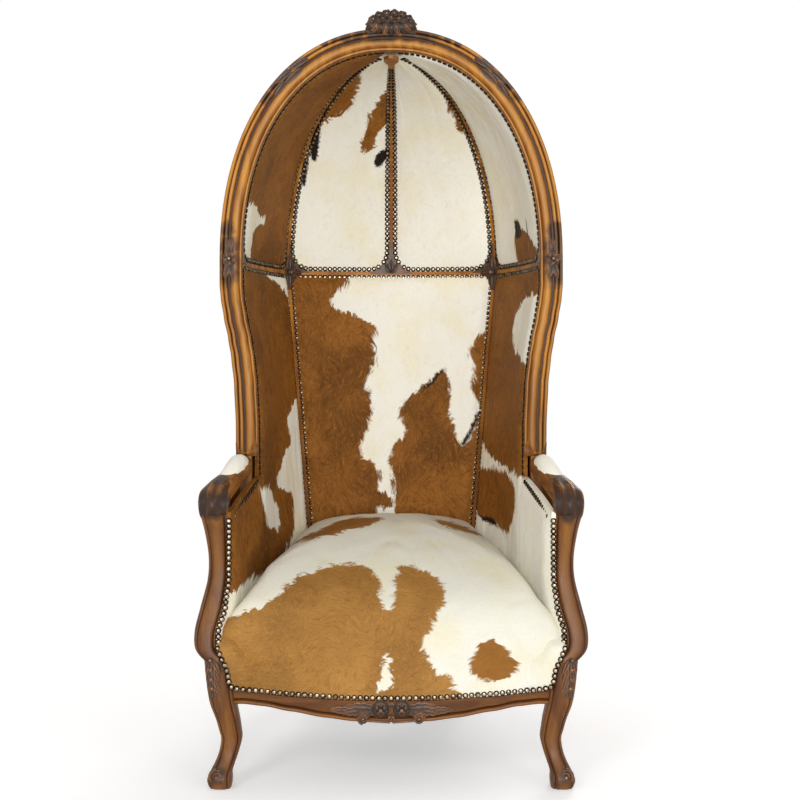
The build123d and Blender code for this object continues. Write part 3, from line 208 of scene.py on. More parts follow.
class Shell:
    """A closed mesh being built, with a relief value for each point."""

    def __init__(self) -> None:
        """Start with nothing."""
        self.points: list[Vector] = []
        self.relief: list[float] = []
        self.faces: list[tuple[int, ...]] = []

    def rings(self, cells: Sequence[Sequence[tuple[Vector, float]]]) -> None:
        """Skin over rings with the same number of points, closed at both ends.

        Args:
            cells: each ring's points with their relief values.
        """
        start, count = len(self.points), len(cells[0])
        for point, value in (cell for ring in cells for cell in ring):
            self.points.append(point)
            self.relief.append(value)
        top = start + (len(cells) - 1) * count
        for low in range(start, top, count):
            for index in range(count):
                after = (index + 1) % count
                self.faces.append((low + index, low + after, low + count + after, low + count + index))
        self.faces += [tuple(range(start + count - 1, start - 1, -1)), tuple(range(top, top + count))]

    def sheet(self, cells: Sequence[Sequence[tuple[Vector, Vector, float]]]) -> None:
        """Closed sheet over a grid.

        Args:
            cells: rows of face point, back point and relief value.
        """
        rows, columns, start = len(cells), len(cells[0]), len(self.points)
        behind = start + rows * columns
        for layer in (0, 1):
            self.points.extend(cell[layer] for row in cells for cell in row)
            self.relief.extend(cell[2] for row in cells for cell in row)
        for a in (r * columns + c for r in range(rows - 1) for c in range(columns - 1)):
            quad = (a, a + 1, a + columns + 1, a + columns)
            self.faces.append(tuple(start + i for i in quad))
            self.faces.append(tuple(behind + i for i in reversed(quad)))
        rim = list(range(columns)) + [r * columns + columns - 1 for r in range(1, rows)]
        rim += [(rows - 1) * columns + c for c in range(columns - 2, -1, -1)]
        rim += [r * columns for r in range(rows - 2, 0, -1)]
        for a, b in zip(rim, rim[1:] + rim[:1]):
            self.faces.append((start + b, start + a, behind + a, behind + b))

    def boss(self, place: Matrix, radius: float, rise: float, sides: int = 12, bands: int = 4,
             shade: float = 1.0) -> None:
        """Domed button with a flat back.

        Args:
            place: its place.
            radius: its radius.
            rise: height of its dome.
            sides: points round it.
            bands: rings up its dome.
            shade: how bright its crown comes out.
        """
        levels = [(1.0, -0.3, 0.0)]
        for band in range(bands):
            tilt = math.pi / 2.0 * band / bands
            levels.append((math.cos(tilt), math.sin(tilt), shade * (0.25 + 0.75 * band / max(bands - 1, 1))))
        self.rings([[(place @ Vector((radius * wide * math.cos(turn), radius * wide * math.sin(turn), rise * up)),
                      value) for turn in around(sides)] for wide, up, value in levels])

    def petal(self, place: Matrix, length: float, width: float, rise: float, tip: float = 0.7,
              droop: float = 0.0, cup: float = 0.5, lobes: int = 0, shade: float = 1.0) -> None:
        """Petal or leaf that grows along X from its foot, with raised rims and a flat back.

        Args:
            place: its foot.
            length: its length.
            width: its greatest width.
            rise: how far its face stands out.
            tip: roundness of the tip, small for a pointed one.
            droop: how far its tip falls below its foot.
            cup: depth of the hollow between rim and midrib.
            lobes: notches along each rim.
            shade: how bright the rims come out.
        """
        along, across = 14 + lobes * 4, 8
        cells = []
        for r in range(along + 1):
            s = r / along
            reach = math.sin(math.pi * (0.06 + 0.94 * s) ** 0.8) if s < 1.0 else 0.0
            half = width / 2.0 * max(0.04, reach) ** tip
            if lobes:
                half *= 0.8 + 0.28 * abs(math.sin(math.pi * lobes * s))
            bulge = math.sin(math.pi * min(1.0, 0.12 + 0.8 * s))
            row = []
            for c in range(across + 1):
                t = c / across * 2.0 - 1.0
                rim, rib = abs(t) ** 3, bell(t, 0.0, 0.16)
                z = rise * bulge * (1.0 - cup * (1.0 - rim - 0.7 * rib)) * (1.0 - 0.55 * rim * rim)
                z -= droop * s * s
                bright = max(smooth(abs(t), 0.55, 0.95), rib * 0.9 * smooth(s, 0.1, 0.4))
                row.append((place @ Vector((length * s, half * t, z)),
                            place @ Vector((length * s, half * t, min(-rise * 0.5, z - rise * 0.5))),
                            min(1.0, shade * (0.30 + 0.45 * bright + 0.28 * s))))
            cells.append(row)
        self.sheet(cells)

    def tube(self, path: list[Vector], radii: list[float], relief: float) -> None:
        """Round bar along a path.

        Args:
            path: its middle line.
            radii: its radius at each point.
            relief: value of all its points.
        """
        cells = []
        side = Vector((0.0, 0.0, 1.0))
        for index, (point, radius) in enumerate(zip(path, radii)):
            ahead = path[min(index + 1, len(path) - 1)] - path[max(index - 1, 0)]
            ahead.normalize()
            side = side - ahead * side.dot(ahead)
            if side.length < 1e-4:
                side = ahead.orthogonal()
            side.normalize()
            other = ahead.cross(side)
            cells.append([(point + (side * math.cos(a) + other * math.sin(a)) * radius, relief)
                          for a in around(TUBE_SIDES)])
        self.rings(cells)

    def scroll(self, place: Matrix, radius: float, bar: float, turns: float, hand: float) -> None:
        """Volute: a bar that winds in to a boss.

        Args:
            place: its middle.
            radius: its outer radius.
            bar: radius of the bar at its start.
            turns: number of turns.
            hand: 1 to wind anticlockwise, -1 for clockwise.
        """
        steps = int(20 * turns)
        path, radii = [], []
        for share in (n / steps for n in range(steps + 1)):
            angle = hand * math.tau * turns * share + math.pi / 2.0
            reach = radius * (1.0 - 0.72 * share)
            path.append(place @ Vector((reach * math.cos(angle), reach * math.sin(angle), bar * 0.3 * share)))
            radii.append(bar * (1.0 - 0.45 * share))
        self.tube(path, radii, 0.66)
        self.boss(place, radius * 0.28, bar * 1.6)
        self.boss(place @ shift(z=-bar * 0.6), radius * 1.02, bar * 0.5, 24, 3, 0.3)

    def flower(self, place: Matrix, radius: float, petals: int, rise: float, turn: float = 90.0,
               layers: int = 1, shade: float = 1.0) -> None:
        """Open flower with a domed heart.

        Args:
            place: its middle.
            radius: its radius.
            petals: petals in a ring.
            rise: how far it stands out.
            turn: where the first petal points, degrees.
            layers: rings of petals.
            shade: how bright the petals come out.
        """
        for layer in range(layers):
            reach = radius * (1.0 - 0.32 * layer)
            for number in range(petals):
                angle = turn + 360.0 / petals * (number + 0.5 * layer)
                self.petal(place @ spin(angle) @ shift(reach * 0.12, 0.0, rise * 0.35 * layer), reach * 0.88,
                           reach * 4.6 / petals, rise * 0.75, 0.5, rise * 0.25, 0.75, 0,
                           shade * (1.0 - 0.3 * (number % 2)))
        self.boss(place @ shift(z=rise * (0.3 + 0.3 * layers)), radius * 0.26, rise * 0.6)

    def make(self, name: str, paint: Material, slot: Slot, fill: float | None = None, stands: bool = True) -> None:
        """Make the piece, and hide the CAD node that it replaces if it stands for one.

        Args:
            name: its name, and that of the CAD node that it replaces.
            paint: its material.
            slot: its material slot; not used.
            fill: fullness of a stuffed piece, whose edges also stay softer.
            stands: it replaces a CAD node.
        """
        mesh = bpy.data.meshes.new(name)
        mesh.from_pydata([tuple(p) for p in self.points], [], self.faces)
        mesh.attributes.new("relief", "FLOAT", "POINT").data.foreach_set("value", self.relief)
        work = bmesh.new()
        work.from_mesh(mesh)
        bmesh.ops.recalc_face_normals(work, faces=work.faces)
        work.to_mesh(mesh)
        work.free()
        mesh.shade_smooth()
        mesh.set_sharp_from_angle(angle=math.radians(50.0 if fill is None else 80.0))
        mesh.materials.append(paint)
        piece = bpy.data.objects.new(name, mesh)
        bpy.context.scene.collection.objects.link(piece)
        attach(piece, "root")
        if stands:
            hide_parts(name)
        log.info("%s: %d points", name, len(self.points))


def carried(node: str, paint: Material) -> None:
    """Dress a CAD node that is shown as it is.

    Args:
        node: its name.
        paint: its material.
    """
    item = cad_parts[node]
    item.data.materials.clear()
    item.data.materials.append(paint)
    log.info("%s: carried over", node)


# Finishes.


class Sheet:
    """A material's node tree with short ways to add and join nodes."""

    def __init__(self, name: str) -> None:
        """Start a material.

        Args:
            name: its name.
        """
        self.material = bpy.data.materials.new(name)
        self.material.use_nodes = True
        self.tree = self.material.node_tree
        self.shader = self.tree.nodes["Principled BSDF"]
        self.at = self.add("ShaderNodeTexCoord").outputs["Object"]

    def add(self, kind: str, values: dict[int | str, object] | None = None, **settings: object) -> bpy.types.Node:
        """Add a node.

        Args:
            kind: the node's type.
            values: what its inputs get, by number or name.
            settings: its properties.

        Returns:
            The node.
        """
        node = self.tree.nodes.new(kind)
        for key, value in settings.items():
            setattr(node, key, value)
        for key, value in (values or {}).items():
            self.feed(node.inputs[key], value)
        return node

    def feed(self, socket: Socket, value: object) -> None:
        """Join a socket, or set it.

        Args:
            socket: the input.
            value: another socket, a number or a colour.
        """
        if isinstance(value, Socket):
            self.tree.links.new(value, socket)
        elif isinstance(value, tuple) and len(value) == 3 and socket.type == "RGBA":
            socket.default_value = (*value, 1.0)
        else:
            socket.default_value = value

    def sum(self, kind: str, *values: object, clamp: bool = False) -> Socket:
        """Arithmetic on sockets or numbers, kept from 0 to 1 if clamped."""
        return self.add("ShaderNodeMath", dict(enumerate(values)), operation=kind, use_clamp=clamp).outputs[0]

    def line(self, value: object, factor: float, start: float) -> Socket:
        """A value times a factor, plus a start."""
        return self.sum("ADD", self.sum("MULTIPLY", value, factor), start)

    def uneven(self, value: object, cloud: Socket, amount: float) -> Socket:
        """A value made uneven by a noise round its middle."""
        return self.sum("ADD", value, self.sum("MULTIPLY", self.sum("SUBTRACT", cloud, 0.5), amount))

    def vector(self, kind: str, *values: object) -> Socket:
        """Vector arithmetic, which gives a number for a distance, length or dot product."""
        node = self.add("ShaderNodeVectorMath", dict(enumerate(values)), operation=kind)
        return node.outputs["Value" if kind in ("DISTANCE", "LENGTH", "DOT_PRODUCT") else "Vector"]

    def scaled(self, vector: Socket, factor: float) -> Socket:
        """A vector times a number."""
        return self.vector("MULTIPLY", vector, (factor, factor, factor))

    def grain(self, vector: Socket, scale: float, detail: float = 3.0, colour: bool = False,
              roughness: float = 0.5) -> Socket:
        """Noise of a fineness and a number of octaves, as three values if in colour."""
        settings = {"Vector": vector, "Scale": scale, "Detail": detail, "Roughness": roughness}
        return self.add("ShaderNodeTexNoise", settings).outputs["Color" if colour else "Fac"]

    def shake(self, vector: Socket, scale: float, factor: float) -> Socket:
        """Noise in three directions round zero."""
        return self.scaled(self.vector("SUBTRACT", self.grain(vector, scale, 2.0, True), HALF), factor)

    def step(self, value: object, low: float, high: float, start: float = 0.0, end: float = 1.0) -> Socket:
        """Soft step between two numbers, from a start value to an end value."""
        given = dict(enumerate((value, low, high, start, end)))
        return self.add("ShaderNodeMapRange", given, interpolation_type="SMOOTHSTEP").outputs[0]

    def blend(self, share: object, first: object, second: object) -> Socket:
        """Mix two colours by the share of the second."""
        return self.add("ShaderNodeMix", {0: share, 6: first, 7: second}, data_type="RGBA",
                        blend_type="MIX").outputs[2]

    def axes(self, vector: Socket) -> list[Socket]:
        """A vector's three numbers."""
        return list(self.add("ShaderNodeSeparateXYZ", {0: vector}).outputs)

    def relief(self) -> Socket:
        """The relief value of the mesh."""
        return self.add("ShaderNodeAttribute", attribute_name="relief").outputs["Fac"]

    def curve(self, value: object, points: Sequence[Plan]) -> Socket:
        """A drawn curve.

        Args:
            value: place along it, 0 to 1.
            points: its points, each 0 to 1.

        Returns:
            Its height.
        """
        node = self.add("ShaderNodeFloatCurve", {"Value": value})
        line = node.mapping.curves[0]
        while len(line.points) < len(points):
            line.points.new(0.5, 0.5)
        for spot, (x, y) in zip(line.points, sorted(points)):
            spot.location = (x, y)
            spot.handle_type = "AUTO"
        node.mapping.update()
        return node.outputs[0]

    def bump(self, height: object, depth: float, strength: float, under: Socket | None = None) -> Socket:
        """Bump of a depth in metres, over another bump if there is one."""
        given = {"Strength": strength, "Distance": depth, "Height": height, "Normal": under}
        return self.add("ShaderNodeBump", {key: value for key, value in given.items() if value is not None}).outputs[0]

    def done(self, **inputs: object) -> Material:
        """Join the shader's inputs.

        Args:
            inputs: socket names, with _ for spaces, and values.

        Returns:
            The material.
        """
        for key, value in inputs.items():
            self.feed(self.shader.inputs[key.replace("_", " ")], value)
        return self.material


# Places where the old dark stain lies on the show wood: across from the middle, height, reach.
STAINS = (
    (0.0, 1.606, 0.034), (0.040, 1.602, 0.034), (0.070, 1.598, 0.030), (0.100, 1.594, 0.024),
    (0.125, 1.589, 0.018), (0.150, 1.578, 0.014), (0.362, 1.165, 0.026), (0.362, 1.130, 0.036),
    (0.362, 1.098, 0.038), (0.362, 1.066, 0.034), (0.215, 1.533, 0.032), (0.240, 1.514, 0.028),
    (0.262, 1.492, 0.028), (0.284, 1.462, 0.024), (0.358, 0.028, 0.024), (0.372, 0.245, 0.028),
    (0.372, 0.205, 0.022),
)
# The same for the hands: across, depth, height, reach.
HAND_STAINS = (
    (0.348, -0.350, 0.588, 0.040), (0.384, -0.350, 0.588, 0.040), (0.366, -0.345, 0.568, 0.034),
    (0.357, -0.297, 0.630, 0.027),
)


@dataclass(frozen=True)
class WaxedWood:
    """Waxed show wood, with old patina and painted shade in the grooves, painted highlights over real wear on the
    ridges, and stained round the ornaments.
    """

    name: str
    grain_axis: Axis = Axis.Z
    light: Colour = (0.190, 0.068, 0.010)
    deep: Colour = (0.080, 0.024, 0.004)
    golden: Colour = (0.50, 0.205, 0.026)
    golden_deep: Colour = (0.225, 0.070, 0.006)
    groove: Colour = (0.024, 0.007, 0.002)
    # Ridge colours: painted highlight together with real wear of the finish.
    wear_highlight_low: Colour = (0.34, 0.145, 0.035)
    wear_highlight_high: Colour = (0.66, 0.33, 0.075)
    stain: Colour = (0.026, 0.013, 0.009)
    # Painted highlight on stained ridges, where the stain is also thinned by use.
    rubbed_highlight: Colour = (0.20, 0.085, 0.030)
    stained: bool = True
    smooth_made: bool = False

    def stains(self, s: Sheet) -> Socket:
        """Where the old stain lies.

        Args:
            s: the node tree.

        Returns:
            How dark it is.
        """
        x, y, z = s.axes(s.at)
        mirrored = s.sum("ABSOLUTE", x)
        flat, deep = (s.add("ShaderNodeCombineXYZ", {0: mirrored, 1: depth, 2: z}).outputs[0] for depth in (0.0, y))
        marks = [(flat, (across, 0.0, height), reach) for across, height, reach in STAINS]
        marks += [(deep, tuple(middle), reach) for *middle, reach in HAND_STAINS]
        dark: object = 0.0
        smudge = s.sum("MULTIPLY", s.sum("SUBTRACT", s.grain(s.at, 26.0, 3.0), 0.5), 0.05)
        for at, middle, reach in marks:
            away = s.sum("ADD", s.vector("DISTANCE", at, middle), smudge)
            dark = s.sum("MAXIMUM", dark, s.step(away, reach * 0.35, reach, 0.88, 0.0))
        return dark

    def make(self) -> Material:
        """Build the material.

        Returns:
            The material.
        """
        s = Sheet(self.name)
        stretch = [1.0, 1.0, 1.0]
        stretch[self.grain_axis.value] = 0.09
        warped = s.vector("ADD", s.at, s.scaled(s.grain(s.at, 5.0, 2.0, True), 0.03))
        long_way = s.vector("MULTIPLY", warped, tuple(stretch))
        figure = s.grain(long_way, 42.0, 5.0, roughness=0.62)
        pores = s.grain(long_way, 520.0, 2.0)
        cloud = s.grain(s.at, 7.0, 3.0)
        high = s.step(s.axes(s.at)[2], 0.30, 1.15)
        deep_tone = s.blend(high, self.deep, self.golden_deep)
        body = s.blend(s.step(figure, 0.36, 0.66), deep_tone, s.blend(high, self.light, self.golden))
        body = s.blend(s.step(cloud, 0.35, 0.7, 0.0, 0.5), body, deep_tone)
        body = s.blend(s.step(pores, 0.60, 0.75, 0.0, 0.45), body, self.groove)
        relief = s.sum("ADD", figure, 0.22) if self.smooth_made else s.relief()
        wear_and_light_relief = s.uneven(relief, cloud, 0.35)
        # Painted shade: darker where the relief is low, in grooves and hollows, together with old patina there.
        body = s.blend(s.step(wear_and_light_relief, 0.05, 0.5, 0.88, 0.0), body, self.groove)
        # Painted highlight on the raised ridges, together with real wear of the finish there.
        body = s.blend(s.step(wear_and_light_relief, 0.80, 1.05, 0.0, 0.45), body, s.blend(high, self.wear_highlight_low, self.wear_highlight_high))
        if self.stained:
            dark = self.stains(s)
            body = s.blend(dark, body, self.stain)
            # Painted highlight on the ridges inside the stain, where the stain is also thinned by use.
            body = s.blend(s.sum("MULTIPLY", dark, s.step(wear_and_light_relief, 0.92, 1.05, 0.0, 0.7)), body, self.rubbed_highlight)
        tone = s.sum("ADD", s.sum("MULTIPLY", pores, 0.25), s.sum("MULTIPLY", figure, 0.2))
        return s.done(Base_Color=body, Roughness=s.sum("ADD", tone, 0.24), Coat_Weight=0.05,
                      Coat_Roughness=0.2, Specular_IOR_Level=0.25, Normal=s.bump(figure, 0.0006, 0.25))


@dataclass(frozen=True)
class CarvedWood:
    """Dark carving, with painted shade in its hollows and copper edges that are partly its polished finish and partly
    painted highlights.
    """

    name: str
    hollow: Colour = (0.010, 0.007, 0.005)
    body: Colour = (0.048, 0.026, 0.016)
    edge: Colour = (0.200, 0.082, 0.030)
    gilt_highlight: Colour = (0.56, 0.33, 0.15)

    def make(self) -> Material:
        """Build the material.

        Returns:
            The material.
        """
        s = Sheet(self.name)
        cloud, fine = s.grain(s.at, 55.0, 3.0), s.grain(s.at, 700.0, 2.0)
        relief = s.uneven(s.relief(), cloud, 0.5)
        # Painted shade where the relief is low, in the hollows; painted highlights on the raised edges and tops, over
        # the copper finish there.
        colour = s.blend(s.step(relief, 0.05, 0.4), self.hollow, self.body)
        colour = s.blend(s.step(relief, 0.5, 0.85), colour, self.edge)
        colour = s.blend(s.step(relief, 0.92, 1.12), colour, self.gilt_highlight)
        return s.done(Base_Color=colour, Metallic=s.step(relief, 0.9, 1.15, 0.0, 0.5),
                      Roughness=s.line(fine, 0.2, 0.27), Specular_IOR_Level=0.3, Normal=s.bump(fine, 0.0003, 0.4))


@dataclass(frozen=True)
class Patch:
    """One marking on a hide: rows of height, left border and right border, in millimetres."""

    rows: tuple[Row, ...]
    soft: float = 0.006


@dataclass(frozen=True)
class Cowhide:
    """Short-haired hide with drawn markings."""

    name: str
    face: Face
    ground: Colour
    mark: Colour
    patches: tuple[Patch, ...] = ()
    rims: tuple[Patch, ...] = ()
    gaps: tuple[Patch, ...] = ()
    warp: float = 0.035
    brindle: float = 0.5
    fineness: float = 1.0
    contrast: float = 1.0
    tinted: tuple[Patch, ...] = ()
    whole: bool = False
    pale_streak: Colour = (0.62, 0.56, 0.44)
    pale_strand: Colour = (0.60, 0.55, 0.45)
    black: Colour = (0.014, 0.009, 0.007)
    shadow: Colour = (0.05, 0.03, 0.015)

    def mask(self, s: Sheet, patch: Patch, u: Socket, v: Socket) -> Socket:
        """Where a marking lies.

        Args:
            s: the node tree.
            patch: the marking.
            u: place across.
            v: place up.

        Returns:
            1 inside and 0 outside.
        """
        heights, lefts, rights = ([part / 1000.0 for part in column] for column in zip(*patch.rows))
        low, high = min(heights), max(heights)
        least, most, soft = min(lefts) - 0.02, max(rights) + 0.02, patch.soft
        span = most - least
        share = s.sum("DIVIDE", s.sum("SUBTRACT", v, low), high - low, clamp=True)
        left, right = (s.curve(share, [((h - low) / (high - low), (b - least) / span)
                                       for h, b in zip(heights, borders)]) for borders in (lefts, rights))
        at = s.sum("DIVIDE", s.sum("SUBTRACT", u, least), span)
        edge = soft / span
        inside = s.sum("MULTIPLY", s.step(s.sum("SUBTRACT", at, left), -edge, edge),
                       s.step(s.sum("SUBTRACT", right, at), -edge, edge))
        ends = s.sum("MULTIPLY", s.step(v, low - soft, low + soft), s.step(v, high - soft, high + soft, 1.0, 0.0))
        return s.sum("MULTIPLY", inside, ends)

    def coat(self, s: Sheet, cloud: Socket, streak: Socket, strand: Socket) -> Socket:
        """The coloured hair.

        Args:
            s: the node tree.
            cloud: broad noise.
            streak: noise of the locks.
            strand: noise of the hairs.

        Returns:
            Its colour.
        """
        mark, hard = self.mark, self.contrast
        dark = tuple(part * 0.32 for part in mark)
        warm = tuple(min(1.0, part * gain) for part, gain in zip(mark, (1.75, 1.9, 2.2)))
        coat = s.blend(s.step(cloud, 0.36, 0.62, 0.0, 0.5), warm, mark)
        coat = s.blend(s.step(cloud, 0.36, 0.62, 0.75, 1.0), coat, mark)
        coat = s.blend(s.step(s.grain(s.at, 6.0, 3.0), 0.46, 0.66, 0.0, self.brindle), coat, dark)
        for hairs, (low, high, much), (low_warm, high_warm, much_warm) in (
                (streak, (0.30, 0.50, 0.55), (0.54, 0.72, 0.40)), (strand, (0.30, 0.47, 0.60), (0.53, 0.70, 0.55))):
            coat = s.blend(s.step(hairs, low, high, much * hard, 0.0), coat, dark)
            coat = s.blend(s.step(hairs, low_warm, high_warm, 0.0, much_warm * hard), coat, warm)
        return coat

    def make(self) -> Material:
        """Build the material.

        Returns:
            The material.
        """
        s = Sheet(self.name)
        across, up, lie = self.face.value
        tufts = s.vector("MULTIPLY", s.vector("ADD", s.at, s.shake(s.at, 7.0, 0.17)), lie)
        broad = s.shake(s.at, 8.0, self.warp)
        ragged, fringe = s.shake(tufts, 70.0, 0.036), s.shake(tufts, 300.0, 0.018)
        spot = s.vector("ADD", s.vector("ADD", s.at, broad), s.vector("ADD", ragged, fringe))
        u, v = s.vector("DOT_PRODUCT", spot, across), s.vector("DOT_PRODUCT", spot, up)
        hair = s.grain(tufts, 800.0 * self.fineness, 2.0, roughness=0.7)
        cloud = s.grain(s.at, 10.0, 3.0)
        streak = s.grain(tufts, 85.0 * self.fineness, 4.0, roughness=0.65)
        strand = s.grain(tufts, 250.0 * self.fineness, 3.0, roughness=0.65)
        yellow = tuple(part * share for part, share in zip(self.ground, (0.98, 0.94, 0.80)))
        pale = s.blend(s.step(cloud, 0.40, 0.70, 0.0, 0.8), self.ground, yellow)
        pale = s.blend(s.step(streak, 0.52, 0.72, 0.0, 0.16), pale, self.pale_streak)
        pale = s.blend(s.step(strand, 0.28, 0.48, 0.16, 0.0), pale, self.pale_strand)
        coat = self.coat(s, cloud, streak, strand)
        for patch in self.tinted:
            coat = s.blend(s.sum("MULTIPLY", self.mask(s, patch, u, v), 0.65), coat, BROWN)
        where: object = 0.0
        for patch in self.patches:
            where = s.sum("MAXIMUM", where, self.mask(s, patch, u, v))
        for patch in self.gaps:
            where = s.sum("MULTIPLY", where, s.sum("SUBTRACT", 1.0, self.mask(s, patch, u, v)))
        colour = coat if self.whole else s.blend(where, pale, coat)
        tip = s.vector("ADD", s.vector("ADD", s.at, broad), s.scaled(fringe, 0.9))
        u, v = s.vector("DOT_PRODUCT", tip, across), s.vector("DOT_PRODUCT", tip, up)
        for patch in self.rims:
            colour = s.blend(self.mask(s, patch, u, v), colour, self.black)
        colour = s.blend(s.step(hair, 0.35, 0.7, 0.12, 0.0), colour, s.blend(0.5, colour, self.shadow))
        bump = s.bump(strand, 0.0016, 0.5, s.bump(streak, 0.0022, 0.4))
        return s.done(Base_Color=colour, Roughness=s.line(hair, 0.2, 0.55), Specular_IOR_Level=0.12, Normal=bump)


@dataclass(frozen=True)
class AntiqueBrass:
    """Old brass: dark at the rim, which is patina together with painted shade, and bright on the crown, which is a
    painted highlight over brass polished by use.
    """

    name: str
    bright: Colour = (0.42, 0.33, 0.23)
    rim_patina_and_shade: Colour = (0.026, 0.017, 0.011)

    def make(self) -> Material:
        """Build the material.

        Returns:
            The material.
        """
        s = Sheet(self.name)
        cloud = s.grain(s.at, 120.0, 3.0)
        # Painted shade at the rim over the patina, and a painted highlight on the crown.
        colour = s.blend(s.step(s.uneven(s.relief(), cloud, 0.9), 0.70, 1.08), self.rim_patina_and_shade, self.bright)
        return s.done(Base_Color=colour, Metallic=1.0, Roughness=s.step(cloud, 0.3, 0.7, 0.22, 0.42),
                      Normal=s.bump(cloud, 0.0003, 0.3))


@dataclass(frozen=True)
class Workshop:
    """Plain shop finishes: raw wood, spring steel, woven jute and lining cloth."""

    name: str
    light: Colour
    deep: Colour
    metal: float = 0.0
    roughness: float = 0.7
    weave: float = 0.0

    def make(self) -> Material:
        """Build the material.

        Returns:
            The material.
        """
        s = Sheet(self.name)
        long_way = s.vector("MULTIPLY", s.at, (1.0 if self.weave else 0.08, 1.0, 1.0))
        figure = height = s.grain(long_way, 60.0, 4.0, roughness=0.6)
        if self.weave:
            warp, weft = (s.sum("SINE", s.sum("MULTIPLY", way, self.weave)) for way in s.axes(s.at)[:2])
            height = s.sum("ADD", s.sum("MULTIPLY", s.sum("MULTIPLY", warp, weft), 0.5), figure)
        colour = s.blend(s.step(height, 0.3, 0.75), self.deep, self.light)
        return s.done(Base_Color=colour, Metallic=self.metal, Roughness=s.line(figure, 0.15, self.roughness - 0.08),
                      Normal=s.bump(height, 0.0008, 0.5))


BROWN: Colour = (0.240, 0.088, 0.012)
TAN: Colour = (0.335, 0.158, 0.036)
CREAM: Colour = (0.945, 0.925, 0.82)
# The seat's cream is the hides' cream with painted shade: darker, to even out the stronger lamp light on the seat
# against the shaded inner panels.
SHADED_SEAT_CREAM: Colour = (0.79, 0.77, 0.67)


